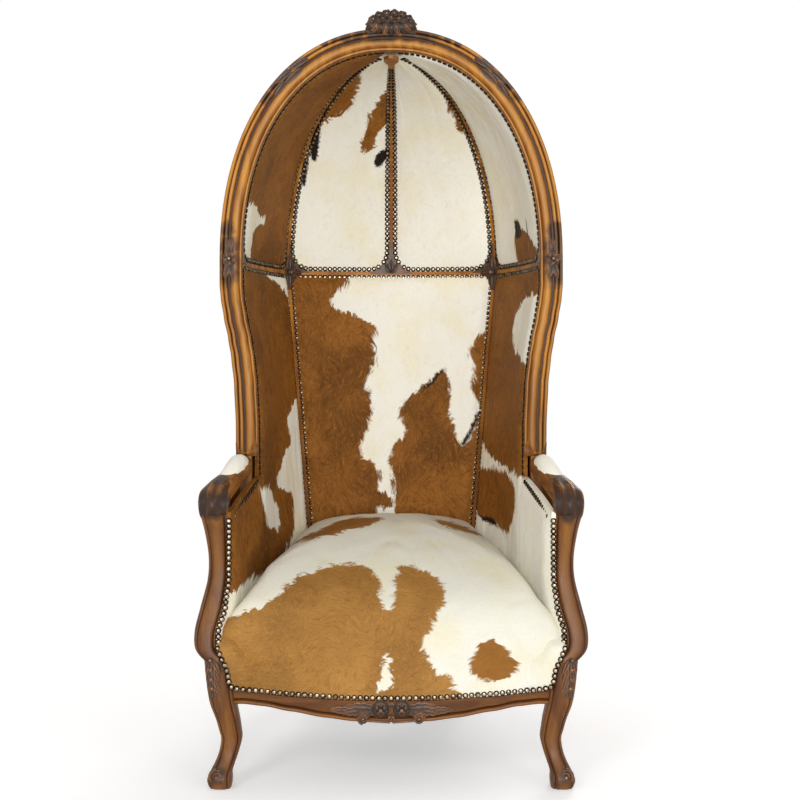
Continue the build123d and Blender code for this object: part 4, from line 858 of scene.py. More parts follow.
class Paints:
    """All materials, made once."""

    def __init__(self) -> None:
        """Build every finish."""
        self.upright_wood = WaxedWood("show_wood_upright", Axis.Z).make()
        self.level_wood = WaxedWood("show_wood_level", Axis.X).make()
        self.arm_wood = WaxedWood("show_wood_arm", Axis.Y).make()
        self.carved = CarvedWood("carved_wood").make()
        self.rib_wood = WaxedWood("rib_wood", Axis.Z, stained=False, smooth_made=True).make()
        self.band_wood = WaxedWood("band_wood", Axis.X, stained=False, smooth_made=True).make()
        self.bare = Workshop("bare_wood", (0.21, 0.098, 0.035), (0.095, 0.038, 0.012)).make()
        self.brass = AntiqueBrass("nail_brass").make()
        self.steel = Workshop("spring_steel", (0.42, 0.40, 0.38), (0.20, 0.18, 0.16), 1.0, 0.42).make()
        self.jute = Workshop("jute", (0.52, 0.38, 0.21), (0.26, 0.17, 0.08), 0.0, 0.9, 2400.0).make()
        self.lining = Workshop("black_cloth", (0.03, 0.03, 0.032), (0.008, 0.008, 0.009), 0.0, 0.9, 3000.0).make()
        self.outer = self.hide("outer_hide", Face.FRONT, fineness=1.4, contrast=0.7, whole=True)
        self.arm_white = self.hide("arm_pad_hide", Face.SEAT)
        self.back = self.back_hide()
        self.wings = self.wing_hides()
        self.seat = self.seat_hide()
        self.domes = self.dome_hides()

    def hide(self, name: str, face: Face, *markings: tuple[Patch, ...], **settings: object) -> Material:
        """A cream hide with brown markings."""
        return Cowhide(name, face, CREAM, BROWN, *markings, **settings).make()

    def back_hide(self) -> Material:
        """The back panel: cream with brown down the left and a brown peak low on the right.

        Returns:
            The material.
        """
        left = Patch((
            (360, -300, -20), (470, -300, -38), (540, -300, -34), (580, -300, -28), (610, -300, -46),
            (635, -300, -77), (685, -300, -62), (740, -300, -54), (820, -300, -54), (880, -300, -38),
            (940, -300, -46), (985, -300, -95), (1025, -300, -148), (1050, -300, -125), (1100, -300, -95),
        ))
        toe = Patch(((495, -50, -12), (510, -50, 8), (525, -50, 0), (540, -50, -30)))
        peak = Patch((
            (400, 30, 300), (470, 10, 300), (540, 8, 300), (595, -5, 300), (635, -2, 300), (650, 0, 175),
            (690, 36, 158), (720, 23, 152), (760, 36, 152), (800, 74, 153), (825, 105, 148), (845, 128, 140),
        ))
        edge = Patch((
            (620, 160, 300), (650, 178, 300), (700, 212, 300), (750, 226, 300), (800, 214, 300),
            (840, 217, 300), (890, 202, 300), (940, 228, 300),
        ))
        rim = Patch(((655, 168, 182), (700, 200, 210), (735, 215, 224)), 0.004)
        tip = Patch(((800, 78, 88), (830, 112, 122), (848, 130, 138)), 0.004)
        return self.hide("inner_hide_back", Face.FRONT, (left, toe, peak, edge), (rim, tip))

    def wing_hides(self) -> dict[str, Material]:
        """The wing panels.

        Returns:
            The materials by side.
        """
        brown = Patch((
            (400, -300, 0), (430, -360, 80), (460, -360, 120), (500, -360, 130), (545, -360, 120),
            (575, -360, 30), (600, -360, 20), (620, -360, 60), (650, -360, 85), (680, -360, 150),
            (720, -360, 130), (760, -360, 170), (790, -360, 270), (860, -360, 280), (940, -360, 255),
            (1030, -360, 215), (1070, -360, 120), (1095, -360, 60),
        ))
        blotch = Patch(((480, -20, 30), (500, -70, 30), (530, -100, 20), (560, -130, -20), (590, -150, -70)))
        top = Patch((
            (615, -160, -50), (630, -160, 120), (665, -160, 220), (690, -160, 280), (860, -160, 280),
            (885, -40, 280), (920, 30, 280), (970, 50, 280), (1010, -10, 280), (1035, -160, 280),
            (1095, -160, 280),
        ))
        low = Patch(((475, -30, 120), (500, -60, 220), (550, -80, 240), (590, -70, 220), (605, 0, 150)))
        rim = Patch(((475, 50, 130), (490, 90, 200)), 0.004)
        return {"left": self.hide("inner_hide_left_wing", Face.SIDE, (brown,), gaps=(blotch,)),
                "right": self.hide("inner_hide_right_wing", Face.SIDE, (top, low), (rim,))}

    def seat_hide(self) -> Material:
        """The seat: golden tan over the front left, cream beyond it.

        Returns:
            The material.
        """
        tan = Patch((
            (40, -360, 152), (100, -360, 125), (142, -360, 72), (183, -360, 70), (225, -350, 80),
            (245, -300, -12), (265, -256, -22), (308, -210, -22), (335, -170, -35), (358, -130, -75),
        ))
        lobe = Patch((
            (180, -60, 70), (225, -30, 92), (250, 4, 103), (270, 10, 107), (308, 10, 100), (335, 14, 72),
            (352, 22, 50),
        ))
        streak = Patch(((430, -230, -170), (455, -200, -100), (475, -150, -50), (500, -130, -20), (515, -100, -30)))
        rear = Patch(((460, 150, 220), (490, 110, 180), (510, 90, 130)))
        fleck = Patch(((70, -32, -20), (95, -24, 6), (120, -18, -2), (150, -16, -6)), 0.004)
        near = Patch(((98, 175, 205), (120, 160, 262), (150, 165, 250), (185, 185, 212)))
        return Cowhide("seat_hide", Face.SEAT, SHADED_SEAT_CREAM, TAN, (tan, lobe, streak, rear, near), gaps=(fleck,),
                       warp=0.03, brindle=0.25, fineness=1.9, contrast=0.6, tinted=(near, streak)).make()

    def dome_hides(self) -> dict[str, Material]:
        """The four dome panels.

        Returns:
            The materials by node name.
        """
        side_left = Patch((
            (1095, 30, 300), (1110, -30, 300), (1140, -50, 300), (1165, -40, 300), (1190, 0, 300),
            (1212, 40, 300), (1222, -40, 300), (1235, -170, 300), (1600, -170, 300),
        ))
        back_left = Patch((
            (1432, -240, -190), (1448, -240, -172), (1462, -240, -146), (1474, -220, -112), (1490, -200, -94),
            (1515, -180, -82), (1545, -160, -70), (1578, -140, -45),
        ))
        back_spot = Patch((
            (1395, -77, -56), (1410, -70, -42), (1430, -66, -34), (1450, -58, -20), (1470, -54, 0),
            (1490, -36, 0), (1515, -18, 0),
        ), 0.004)
        back_right = Patch((
            (1425, 188, 220), (1445, 166, 215), (1465, 146, 210), (1490, 132, 195), (1510, 130, 180),
            (1530, 134, 150),
        ))
        side_right = Patch((
            (1080, -140, 70), (1100, -130, 85), (1130, -100, 90), (1160, -45, 85), (1180, 15, 80),
            (1198, 40, 75),
        ))
        black, black_low, black_tip, black_side, black_fleck = (Patch(rows, 0.003) for rows in (
            ((1368, -197, -188), (1390, -203, -182), (1410, -201, -178), (1430, -196, -174),
             (1453, -182, -173)),
            ((1310, -224, -216), (1340, -224, -211), (1370, -220, -205)),
            ((1360, -40, -30), (1375, -42, -16), (1390, -34, 0), (1402, -20, 0)),
            ((1165, 30, 75), (1185, 30, 78), (1210, 50, 75)),
            ((1158, -45, -32), (1180, -43, -33), (1200, -40, -34)),
        ))
        return {
            "dome_pad_side_left": self.hide("inner_hide_dome_a", Face.SIDE, (side_left,)),
            "dome_pad_back_left": self.hide("inner_hide_dome_b", Face.FRONT, (back_left, back_spot),
                                            (black, black_low, black_tip), warp=0.012),
            "dome_pad_back_right": self.hide("inner_hide_dome_c", Face.FRONT, (back_right,), warp=0.02),
            "dome_pad_side_right": self.hide("inner_hide_dome_d", Face.SIDE, (side_right,),
                                             (black_side, black_fleck), warp=0.02),
        }


# The barrel's shape.


@dataclass(frozen=True)
class Barrel:
    """Lines of the barrel and its dome, in metres."""

    band_z: float = 1.093
    inner_x: float = 0.331
    rise: float = 0.469
    pole_y: float = -0.136
    front_y: float = -0.160
    depth: float = 0.046
    moulding: float = 0.049
    corner: Plan = (0.262, 0.253)
    back_y: float = 0.303
    seat_corner: Plan = (0.205, 0.223)
    seat_back_y: float = 0.258
    seat_z: float = 0.430
    side_bow: float = 0.014
    power: float = 2.2
    foot_z: float = 0.664
    draw: float = 0.0365
    clear: float = 0.0053
    cover: float = 0.0313
    corner_cover: float = 0.0473
    draw_line: tuple[Plan, ...] = (
        (0.0, 0.0), (0.114, 0.0), (0.184, 0.068), (0.287, 0.26), (0.392, 0.52), (0.494, 0.712), (0.627, 0.877),
        (0.839, 0.986), (1.0, 1.0),
    )

    def shrink(self, turn: float) -> float:
        """Plan share left at a turn of the dome: 1 at the band, 0 at the crown."""
        return max(0.0, math.cos(math.radians(turn))) ** (2.0 / self.power)

    def climb(self, turn: float) -> float:
        """Share of the rise reached at a turn of the dome: 0 at the band, 1 at the crown."""
        return max(0.0, math.sin(math.radians(turn))) ** (2.0 / self.power)

    def turn_at(self, height: float) -> float:
        """The turn, in degrees, at a height over the band."""
        return math.degrees(math.asin(min(1.0, (height / self.rise) ** (self.power / 2.0))))

    def half(self, z: float) -> float:
        """Inner half width between the uprights at a height."""
        down = (self.band_z - z) / (self.band_z - self.foot_z)
        return self.inner_x - self.draw * on_line(self.draw_line, down)

    def stile(self, z: float, across: float, out: float) -> Plan:
        """A place on the back stile's section.

        Args:
            z: height.
            across: along the wall, towards the front.
            out: away from the sitter.

        Returns:
            The plan place on the right-hand side.
        """
        share = (min(z, self.band_z) - self.seat_z) / (self.band_z - self.seat_z)
        x, y = (low + (high - low) * share for low, high in zip(self.seat_corner, self.corner))
        reach = math.hypot(x, y - self.pole_y)
        dx, dy = x / reach, (y - self.pole_y) / reach
        return x + dx * out + dy * across, y + dy * out - dx * across

    def back_middle(self, z: float) -> float:
        """The back's depth on the middle line at a height."""
        share = (min(z, self.band_z) - self.seat_z) / (self.band_z - self.seat_z)
        return self.seat_back_y + (self.back_y - self.seat_back_y) * share

    def bowed(self, start: Plan, end: Plan, share: float, out: float) -> Plan:
        """A place on a bowed side wall.

        Args:
            start: its front end in plan.
            end: its rear end in plan.
            share: place along it.
            out: distance outwards.

        Returns:
            The plan place.
        """
        dx, dy = end[0] - start[0], end[1] - start[1]
        length = math.hypot(dx, dy)
        lift = self.side_bow * 4.0 * share * (1.0 - share) + out
        return start[0] + dx * share + dy / length * lift, start[1] + dy * share - dx / length * lift

    def dome(self, plan: Plan, turn: float, out: float) -> Vector:
        """A place on the dome.

        Args:
            plan: the plan place that it rises from.
            turn: degrees from the band.
            out: distance outwards.

        Returns:
            The point.
        """
        x, y = plan[0], plan[1] - self.pole_y
        reach = math.hypot(x, y)
        r = (reach + out) * self.shrink(turn)
        return Vector((x / reach * r, self.pole_y + y / reach * r,
                       self.band_z + (self.rise + out) * self.climb(turn)))


BARREL = Barrel()


# Show frame.


@dataclass
class ShowFrame:
    """Arch and uprights with their run moulding, whose beads are rows of start, end, depth and fall."""

    paints: Paints
    shape: Barrel = BARREL
    steps: int = 96
    beads: tuple[Row, ...] = ((0.0, 0.0055, 0.0030, 0.0016), (0.0065, 0.0265, 0.0, 0.0072),
                              (0.0310, 0.0395, 0.0004, 0.0042), (0.0405, 0.0490, 0.0004, 0.0050))

    def face_depth(self, across: float) -> Plan:
        """The moulding's face.

        Args:
            across: metres from the inner edge.

        Returns:
            Depth behind the front, and the relief value.
        """
        for low, high, top, drop in self.beads:
            if low <= across <= high:
                t = (across - low) / (high - low) * 2.0 - 1.0
                curve = math.sqrt(max(0.0, 1.0 - t * t))
                return top + drop * (1.0 - curve), 0.12 + 0.88 * curve ** 0.7
        return (0.0075, 0.0) if across > 0.02 else (0.0056, 0.0)

    def section(self) -> list[Row]:
        """The closed section.

        Returns:
            Rows of across, depth and relief.
        """
        wide, deep = self.shape.moulding, self.shape.depth
        rows = [(across, *self.face_depth(across)) for across in (wide * n / 72 for n in range(73))]
        return rows + [(wide + 0.0002, 0.010, 0.6), (wide, deep - 0.006, 0.6), (wide - 0.002, deep - 0.002, 0.6),
                       (wide - 0.007, deep, 0.6), (0.0063, deep, 0.5), (0.0063, 0.024, 0.3), (0.0, 0.024, 0.3),
                       (0.0, 0.012, 0.6)]

    def arch(self, side: float) -> None:
        """One half of the arch.

        Args:
            side: 1 for right, -1 for left.
        """
        shape, shell, cells = self.shape, Shell(), []
        for n in range(self.steps + 1):
            turn = 90.0 * n / self.steps
            c, s = shape.shrink(turn) if n < self.steps else 0.0, shape.climb(turn)
            cells.append([(mirror(Vector(((shape.inner_x + a) * c, shape.front_y + d,
                                          shape.band_z + (shape.rise + a) * s)), side), v)
                          for a, d, v in self.section()])
        shell.rings(cells)
        shell.make("arch_" + side_name(side), self.paints.upright_wood, Slot.SHOW_WOOD)

    def upright(self, side: float) -> None:
        """One upright, with the bead turned across its foot.

        Args:
            side: 1 for right, -1 for left.
        """
        shape, shell, cells = self.shape, Shell(), []
        middle, reach = shape.moulding * 0.6, shape.moulding * 0.38
        for n in range(self.steps + 1):
            share = (1.0 - n / self.steps) ** 1.25
            z = shape.foot_z + (shape.band_z - shape.foot_z) * (1.0 - share)
            over, inner, ring = z - shape.foot_z, shape.half(z), []
            for a, d, v in self.section():
                arc = math.sqrt(max(0.0, 1.0 - min(1.0, abs(a - middle) / reach) ** 2))
                bottom = 0.006 + 0.022 * (1.0 - arc)
                face = d < 0.012
                plain = 1.0 - smooth(over, bottom, bottom + 0.006) if face else 0.0
                lip = bell(over, bottom - 0.001, 0.0028) if face else 0.0
                deep = d * (1.0 - plain) + 0.0055 * plain - 0.0042 * lip * plain
                if over < 0.005 and face:
                    deep += 0.003 * (1.0 - over / 0.005)
                ring.append((mirror(Vector((inner + a, shape.front_y + deep, z)), side),
                             v * (1.0 - plain) + plain * (0.35 + 0.6 * lip)))
            cells.append(ring)
        shell.rings(cells)
        low = shape.half(0.0) + 0.0144
        hidden = ((low, -0.157), (low + 0.031, -0.157), (low + 0.031, -0.118), (low, -0.118))
        shell.rings([[(mirror(Vector((x, y, z)), side), 0.4) for x, y in hidden] for z in (0.2555, 0.665)])
        shell.make("upright_" + side_name(side), self.paints.upright_wood, Slot.SHOW_WOOD)

    def build(self) -> None:
        """Build both halves."""
        for side in SIDES:
            self.arch(side)
            self.upright(side)


@dataclass
class LegsAndArms:
    """Front legs, arm posts and arms.

    Rows of legs and posts: sway out, sway back, height, width and depth, as shares.
    Rows of arms: x, y, z, width and thickness, in metres.
    """

    paints: Paints
    middle: Plan = (0.356, -0.334)
    sway: float = 0.025
    width: float = 0.058
    depth: float = 0.054
    leg_top: float = 0.262
    post_height: float = 0.298
    leg_rows: tuple[Row, ...] = (
        (-0.20, -0.08, 0.0, 0.74, 0.80), (-0.15, -0.20, 0.03, 0.84, 0.94), (-0.14, -0.26, 0.075, 0.88, 0.98),
        (-0.24, -0.20, 0.125, 0.78, 0.88), (-0.50, 0.10, 0.185, 0.72, 0.80), (-0.80, 0.40, 0.265, 0.70, 0.77),
        (-1.00, 0.56, 0.363, 0.74, 0.80), (-0.88, 0.50, 0.44, 0.79, 0.84), (-0.70, 0.36, 0.53, 0.84, 0.88),
        (-0.36, 0.16, 0.656, 0.93, 0.96), (-0.16, 0.04, 0.80, 0.966, 1.0), (0.0, 0.0, 1.0, 1.0, 1.0),
    )
    post_rows: tuple[Row, ...] = (
        (0.0, 0.0, 0.0, 1.0, 1.0), (0.92, 0.08, 0.077, 0.86, 0.96), (1.00, 0.28, 0.20, 0.86, 0.89),
        (0.52, 0.64, 0.362, 0.90, 0.81), (0.12, 0.92, 0.544, 0.79, 0.74), (0.08, 1.00, 0.698, 0.76, 0.74),
        (0.20, 0.80, 0.872, 0.90, 0.78), (0.36, 0.52, 1.0, 1.07, 0.89),
    )
    arm_rows: tuple[Row, ...] = (
        (0.328, -0.157, 0.644, 0.042, 0.036), (0.331, -0.200, 0.638, 0.042, 0.035),
        (0.340, -0.240, 0.627, 0.046, 0.036), (0.352, -0.276, 0.614, 0.054, 0.040),
        (0.361, -0.304, 0.604, 0.060, 0.042), (0.3655, -0.322, 0.5975, 0.064, 0.038),
        (0.366, -0.3345, 0.587, 0.065, 0.032), (0.366, -0.3370, 0.574, 0.063, 0.030),
        (0.366, -0.3340, 0.563, 0.060, 0.026), (0.366, -0.3270, 0.556, 0.056, 0.022),
    )

    def swayed(self, name: str, rows: Sequence[Row], bottom: float, height: float, side: float,
               steps: int) -> None:
        """A leg or post, with two grooves down its face.

        Args:
            name: its node, without the side.
            rows: its stations.
            bottom: its lower end.
            height: its height.
            side: 1 for right, -1 for left.
            steps: number of rings.
        """
        cells = []
        for n in range(steps + 1):
            out, back, up, wide, deep = through(rows, n / steps)
            ring = []
            for angle in around(64):
                x, y = rounded(math.cos(angle), 0.56), rounded(math.sin(angle), 0.56)
                front = smooth(-y, 0.35, 0.85)
                groove = bell(abs(x), 0.66, 0.075) * front
                crown = front * (1.0 - min(1.0, abs(x) / 0.6) ** 2)
                side_groove = bell(abs(y), 0.60, 0.10) * smooth(abs(x), 0.5, 0.9) * (y < 0)
                px = self.middle[0] + self.sway * out + x * (self.width * wide / 2.0 - 0.0012 * side_groove)
                py = self.middle[1] + self.sway * back + y * self.depth * deep / 2.0
                py += 0.0030 * groove - 0.0004 * crown + 0.0008 * front
                value = min(1.0, max(0.0, 0.72 + 0.2 * crown - 0.75 * groove - 0.5 * side_groove))
                ring.append((mirror(Vector((px, py, bottom + height * up)), side), value))
            cells.append(ring)
        shell = Shell()
        shell.rings(cells)
        shell.make(name + side_name(side), self.paints.upright_wood, Slot.SHOW_WOOD)

    def toe(self, side: float) -> None:
        """Relief on the scrolled foot.

        Args:
            side: 1 for right, -1 for left.
        """
        shell = Shell()
        shell.scroll(facing_front(0.3575 * side, -0.3605, 0.027), 0.0150, 0.0040, 1.6, -side)
        shell.make("foot_scroll_" + side_name(side), self.paints.carved, Slot.CARVED_WOOD, stands=False)

    def arm(self, side: float) -> None:
        """Arm with fluted, curled hand.

        Args:
            side: 1 for right, -1 for left.
        """
        shell, cells, steps = Shell(), [], 110
        path = [through(self.arm_rows, n / steps) for n in range(steps + 1)]
        for n, (x, y, z, wide, thick) in enumerate(path):
            before, after = path[max(n - 1, 0)], path[min(n + 1, steps)]
            ahead = Vector((0.0, after[1] - before[1], after[2] - before[2])).normalized()
            up = Vector((0.0, ahead.z, -ahead.y))
            hand = smooth(n / steps, 0.34, 0.52)
            ring = []
            for angle in around(72):
                a, b = rounded(math.cos(angle), 0.62), rounded(math.sin(angle), 0.62)
                top = smooth(b, 0.05, 0.6)
                flute = abs(math.sin(math.pi * 1.5 * (a + 1.0)))
                cut = hand * top * (1.0 - (1.0 - flute) ** 2) * smooth(1.0 - abs(a), 0.0, 0.12)
                edge = bell(abs(a), 0.72, 0.07) * top * (1.0 - hand)
                lift = thick / 2.0 * b - 0.0040 * cut - 0.0020 * edge
                value = 0.75 - 0.72 * cut * min(1.0, flute * 1.2) - 0.5 * edge
                value += 0.25 * hand * top * (1.0 - flute) ** 2
                ring.append((mirror(Vector((x + a * wide / 2.0, y, z)) + up * lift, side), value))
            cells.append(ring)
        shell.rings(cells)
        for a, low in ((-0.017, 0.0012), (-0.006, 0.0), (0.006, 0.0), (0.017, 0.0012)):
            spot = placed(mirror(Vector((0.3555 + a, -0.2955 + 0.1 * abs(a), 0.6235 - low)), side),
                          ACROSS, Vector((0.0, -0.45, 1.0)))
            shell.boss(spot, 0.0068, 0.0052, 16, 5)
            shell.boss(spot @ shift(0.0, -0.0055, -0.001), 0.0046, 0.0042)
        shell.make("armrest_" + side_name(side), self.paints.arm_wood, Slot.SHOW_WOOD)

    def build(self) -> None:
        """Build both sides."""
        for side in SIDES:
            self.swayed("front_leg_", self.leg_rows, 0.0, self.leg_top, side, 90)
            self.toe(side)
            self.swayed("arm_post_", self.post_rows, self.leg_top, self.post_height, side, 80)
            self.arm(side)


# Lower edge of the front rail, and the line of its nails: across from the middle, and height.
RAIL_EDGE = ((0.0, 0.137), (0.077, 0.139), (0.135, 0.146), (0.206, 0.158), (0.262, 0.168), (0.305, 0.172),
             (0.345, 0.170))
NAIL_EDGE = ((0.0, 0.182), (0.09, 0.1837), (0.20, 0.1898), (0.29, 0.1974), (0.345, 0.210))


def rail_front(x: float) -> float:
    """Face of the front rail, its Y at a place across."""
    return -0.346 - 0.012 * (1.0 - (x / 0.337) ** 2)


@dataclass
class SeatFrame:
    """Rails, blocks, springs and webbing."""

    paints: Paints
    bead: float = 0.0045
    top: float = 0.2549
    pitch: float = 0.078

    def front_rail(self) -> None:
        """Shaped front rail with a bead along its lower edge."""
        shell, cells, bead = Shell(), [], self.bead
        for x in (-0.336 + 0.672 * n / 120 for n in range(121)):
            low, high, face = on_line(RAIL_EDGE, abs(x)), on_line(NAIL_EDGE, abs(x)), rail_front(x)
            ring = [(face + bead - bead * math.cos(angle), low + bead + bead * math.sin(angle),
                     0.35 + 0.65 * math.cos(angle) ** 2) for angle in (math.pi * (i / 8.0 - 0.5) for i in range(9))]
            ring += [(face + deep, low + rise, value) for rise, deep, value in (
                (0.0100, 0.0042, 0.0), (0.0118, 0.0030, 0.1), (0.0135, 0.0012, 0.6), (0.018, 0.0003, 0.85),
                (0.024, 0.0, 0.75))]
            ring += [(face, high - 0.001, 0.5), (face + 0.0063, high, 0.3), (face + 0.0063, self.top, 0.4),
                     (face + 0.029, self.top, 0.4), (face + 0.0295, low + 0.004, 0.5),
                     (face + 0.024, low + 0.0002, 0.6)]
            cells.append([(Vector((x, y, z)), value) for y, z, value in ring])
        shell.rings(cells)
        shell.make("seat_rail_front", self.paints.level_wood, Slot.SHOW_WOOD)

    def straps(self) -> None:
        """Jute webbing that sags a little between the rails."""
        shell = Shell()
        for y in (-0.042 + row * self.pitch for row in (-2, -1, 0, 1, 2)):
            reach = 0.300 + (0.318 - 0.30) * 0.5 if y < -0.136 else 0.318 - (y + 0.136) * 0.27
            self.strap(shell, Vector((-reach, y, 0.1840)), Vector((reach, y, 0.1840)), 0.0)
        for x in (column * self.pitch for column in (-1.5, -0.5, 0.5, 1.5)):
            self.strap(shell, Vector((x, -0.314, 0.1820)), Vector((x, 0.228, 0.1820)), 0.3)
        shell.make("seat_webbing", self.paints.jute, Slot.JUTE)

    def strap(self, shell: Shell, start: Vector, end: Vector, seed: float) -> None:
        """One strap.

        Args:
            shell: the mesh to add to.
            start: one end.
            end: the other end.
            seed: shifts its unevenness.
        """
        along, cells = end - start, []
        side = Vector((along.y, -along.x, 0.0)).normalized() * 0.025
        for share in (n / 40.0 for n in range(41)):
            row = []
            for t in (c / 4.0 - 1.0 for c in range(9)):
                sag = 0.0022 * math.sin(math.pi * share)
                sag += 0.0006 * wobble(share * 9.0, t * 2.0, start.y * 9.0, seed)
                point = start + along * share + side * t
                row.append((point + Vector((0.0, 0.0, -sag)), point + Vector((0.0, 0.0, -sag - 0.0018)),
                            0.6 - 0.4 * bell(abs(t), 0.8, 0.1)))
            cells.append(row)
        shell.sheet(cells)

    def cloth(self, name: str, front: Plan, rear: Plan, z: float, drop: float, thick: float, paint: Material,
              slot: Slot) -> None:
        """A level sheet of cloth with a soft sag.

        Args:
            name: the node that it replaces.
            front: half width and depth of its front edge.
            rear: half width and depth of its rear edge.
            z: its height.
            drop: how far its middle sags.
            thick: its thickness.
            paint: its material.
            slot: its slot.
        """
        shell, cells = Shell(), []
        near_left, near_right, far_left, far_right = (
            Vector((side * half, y, z)) for half, y in (front, rear) for side in (-1.0, 1.0))
        for v in (r / 40.0 for r in range(41)):
            row = []
            for u in (c / 40.0 for c in range(41)):
                bag = math.sin(math.pi * u) * math.sin(math.pi * v)
                fold = 0.0012 * wobble(u * 7.0, v * 7.0, 0.0, drop * 900.0) * bag ** 0.3
                point = near_left.lerp(near_right, u).lerp(far_left.lerp(far_right, u), v)
                point = point + Vector((0.0, 0.0, -drop * bag ** 0.5 + fold))
                row.append((point, point - Vector((0.0, 0.0, thick)), 0.6))
            cells.append(row)
        shell.sheet(cells)
        shell.make(name, paint, slot)

    def build(self) -> None:
        """Build and dress the seat frame."""
        self.front_rail()
        self.straps()
        self.cloth("dust_cover", (0.296, -0.311), (0.208, 0.226), 0.1795, 0.006, 0.0012, self.paints.lining,
                   Slot.BLACK_CLOTH)
        self.cloth("seat_burlap", (0.1715, -0.218), (0.1715, 0.134), 0.3088, 0.0008, 0.0013, self.paints.jute,
                   Slot.JUTE)
        for node in ("seat_rail_side_left", "seat_rail_side_right", "seat_rail_back", "corner_blocks"):
            carried(node, self.paints.bare)
        carried("crown_block", self.paints.band_wood)
        carried("seat_springs", self.paints.steel)


@dataclass
class BarrelWood:
    """Bands, ribs and back stiles, shown as built, and the wood where the ribs meet."""

    paints: Paints
    shape: Barrel = BARREL

    def crown(self) -> None:
        """Wooden fan under the crown, where the ribs run together."""
        shell, shape, cells = Shell(), self.shape, []
        for turn in (80.0 + 9.2 * r / 20.0 for r in range(21)):
            spread = 0.10 + 0.90 * smooth(turn, 81.5, 88.5)
            row = []
            for t in ((c / 12.0 - 1.0) * spread for c in range(25)):
                plan = (abs(t) * shape.corner[0], shape.back_y - (shape.back_y - shape.corner[1]) * t * t)
                face, back = (mirror(shape.dome(plan, turn, out), 1.0 if t >= 0.0 else -1.0)
                              for out in (-0.0105, -0.0040))
                row.append((face, back, 0.75))
            cells.append(row)
        shell.sheet(cells)
        shell.make("crown_fan", self.paints.rib_wood, Slot.SHOW_WOOD, stands=False)

    def build(self) -> None:
        """Dress the nodes."""
        ribs, bands = self.paints.rib_wood, self.paints.band_wood
        for node, paint in (("rear_post_left", ribs), ("dome_rib_left", ribs), ("band_side_left", bands),
                            ("rear_post_right", ribs), ("dome_rib_right", ribs), ("band_side_right", bands),
                            ("dome_rib_center", ribs), ("band_back", bands)):
            carried(node, paint)
        self.crown()


# Upholstery.


@dataclass
class StuffedPanel:
    """A nailed panel of hide over stuffing; nailed tells which edges are: left, right, low, high."""

    name: str
    surface: Surface
    width: float
    height: float
    puff: float
    thickness: float
    columns: int
    rows: int
    seed: float
    nailed: tuple[bool, bool, bool, bool] = (True, True, True, True)
    pitch: float = NAIL_PITCH
    round_foot: float = 0.0
    ramp: float = 0.017

    def drawn_in(self, v: float) -> float:
        """How far the low corners are rounded in at a height.

        Args:
            v: place up.

        Returns:
            The distance.
        """
        rest = self.round_foot - v * self.height
        if rest <= 0.0:
            return 0.0
        return self.round_foot - math.sqrt(max(0.0, self.round_foot ** 2 - rest * rest))

    def corner_plates(self, shell: Shell) -> None:
        """Wooden plates that fill the rounded corners.

        Args:
            shell: the mesh to add to.
        """
        for right in (False, True):
            cells = []
            for r in range(13):
                v = (self.round_foot * 1.02 * r / 12.0 - 0.006 * (r == 0)) / self.height
                reach = self.drawn_in(max(v, 0.0)) + 0.003
                shares = [(-0.006 + (reach + 0.006) * c / 8.0) / self.width for c in range(9)]
                cells.append([(self.surface(u, v, -0.0012), self.surface(u, v, 0.0060), 0.62)
                              for u in (1.0 - share if right else share for share in shares)])
            shell.sheet(cells)

    def lift(self, u: float, v: float) -> Plan:
        """How far the hide stands in towards the sitter.

        Args:
            u: place across.
            v: place up.

        Returns:
            The distance and the relief value.
        """
        span = self.width - 2.0 * self.drawn_in(v)
        wide, high = u * self.width, v * self.height
        full, dimple = 1.0, 0.0
        for gap, along, nailed in zip((u * span, (1.0 - u) * span, high, (1.0 - v) * self.height),
                                      (high, high, wide, wide), self.nailed):
            if nailed:
                full *= 1.0 - math.exp(-((gap / self.ramp) ** 1.6))
                pull = 0.5 + 0.5 * math.cos(math.tau * along / self.pitch)
                dimple += pull * math.exp(-gap / 0.014) * smooth(gap, 0.0, 0.004)
        soft = 0.0022 * wobble(wide * 9.0, high * 6.0, 0.0, self.seed)
        soft += 0.0009 * wobble(wide * 30.0, high * 18.0, 0.0, self.seed + 3.0)
        soft -= 0.0010 * bell(wobble(wide * 14.0, high * 4.0, 2.0, self.seed + 5.0), 0.0, 0.07)
        return self.puff * full + soft * full - 0.0010 * min(1.0, dimple), 0.4 + 0.6 * full

    def build(self, paint: Material, slot: Slot = Slot.INNER_HIDE, fill: float = 0.8) -> None:
        """Make the piece.

        Args:
            paint: its material.
            slot: its slot.
            fill: its fullness.
        """
        shell, cells = Shell(), []
        for v in (self.eased(r / self.rows) for r in range(self.rows + 1)):
            inset = self.drawn_in(v) / self.width
            row = []
            for even in (self.eased(c / self.columns) for c in range(self.columns + 1)):
                height, relief = self.lift(even, v)
                u = inset + even * (1.0 - 2.0 * inset)
                row.append((self.surface(u, v, -height), self.surface(u, v, self.thickness), relief))
            cells.append(row)
        shell.sheet(cells)
        shell.make(self.name, paint, slot, fill)

    @staticmethod
    def eased(share: float) -> float:
        """An even share, spaced closer near the edges."""
        return share - 0.11 * math.sin(math.tau * share)


# Inner face and front face of the arm post: height, then place across or depth.
POST_FACE = (
    (0.2553, 0.326), (0.285, 0.352), (0.322, 0.354), (0.370, 0.341), (0.424, 0.335), (0.470, 0.335),
    (0.522, 0.334), (0.560, 0.333), (0.600, 0.331), (0.644, 0.328),
)
POST_FRONT = (
    (0.255, -0.3570), (0.285, -0.3560), (0.315, -0.3500), (0.370, -0.3390), (0.424, -0.3300), (0.470, -0.3280),
    (0.522, -0.3330), (0.560, -0.3420),
)


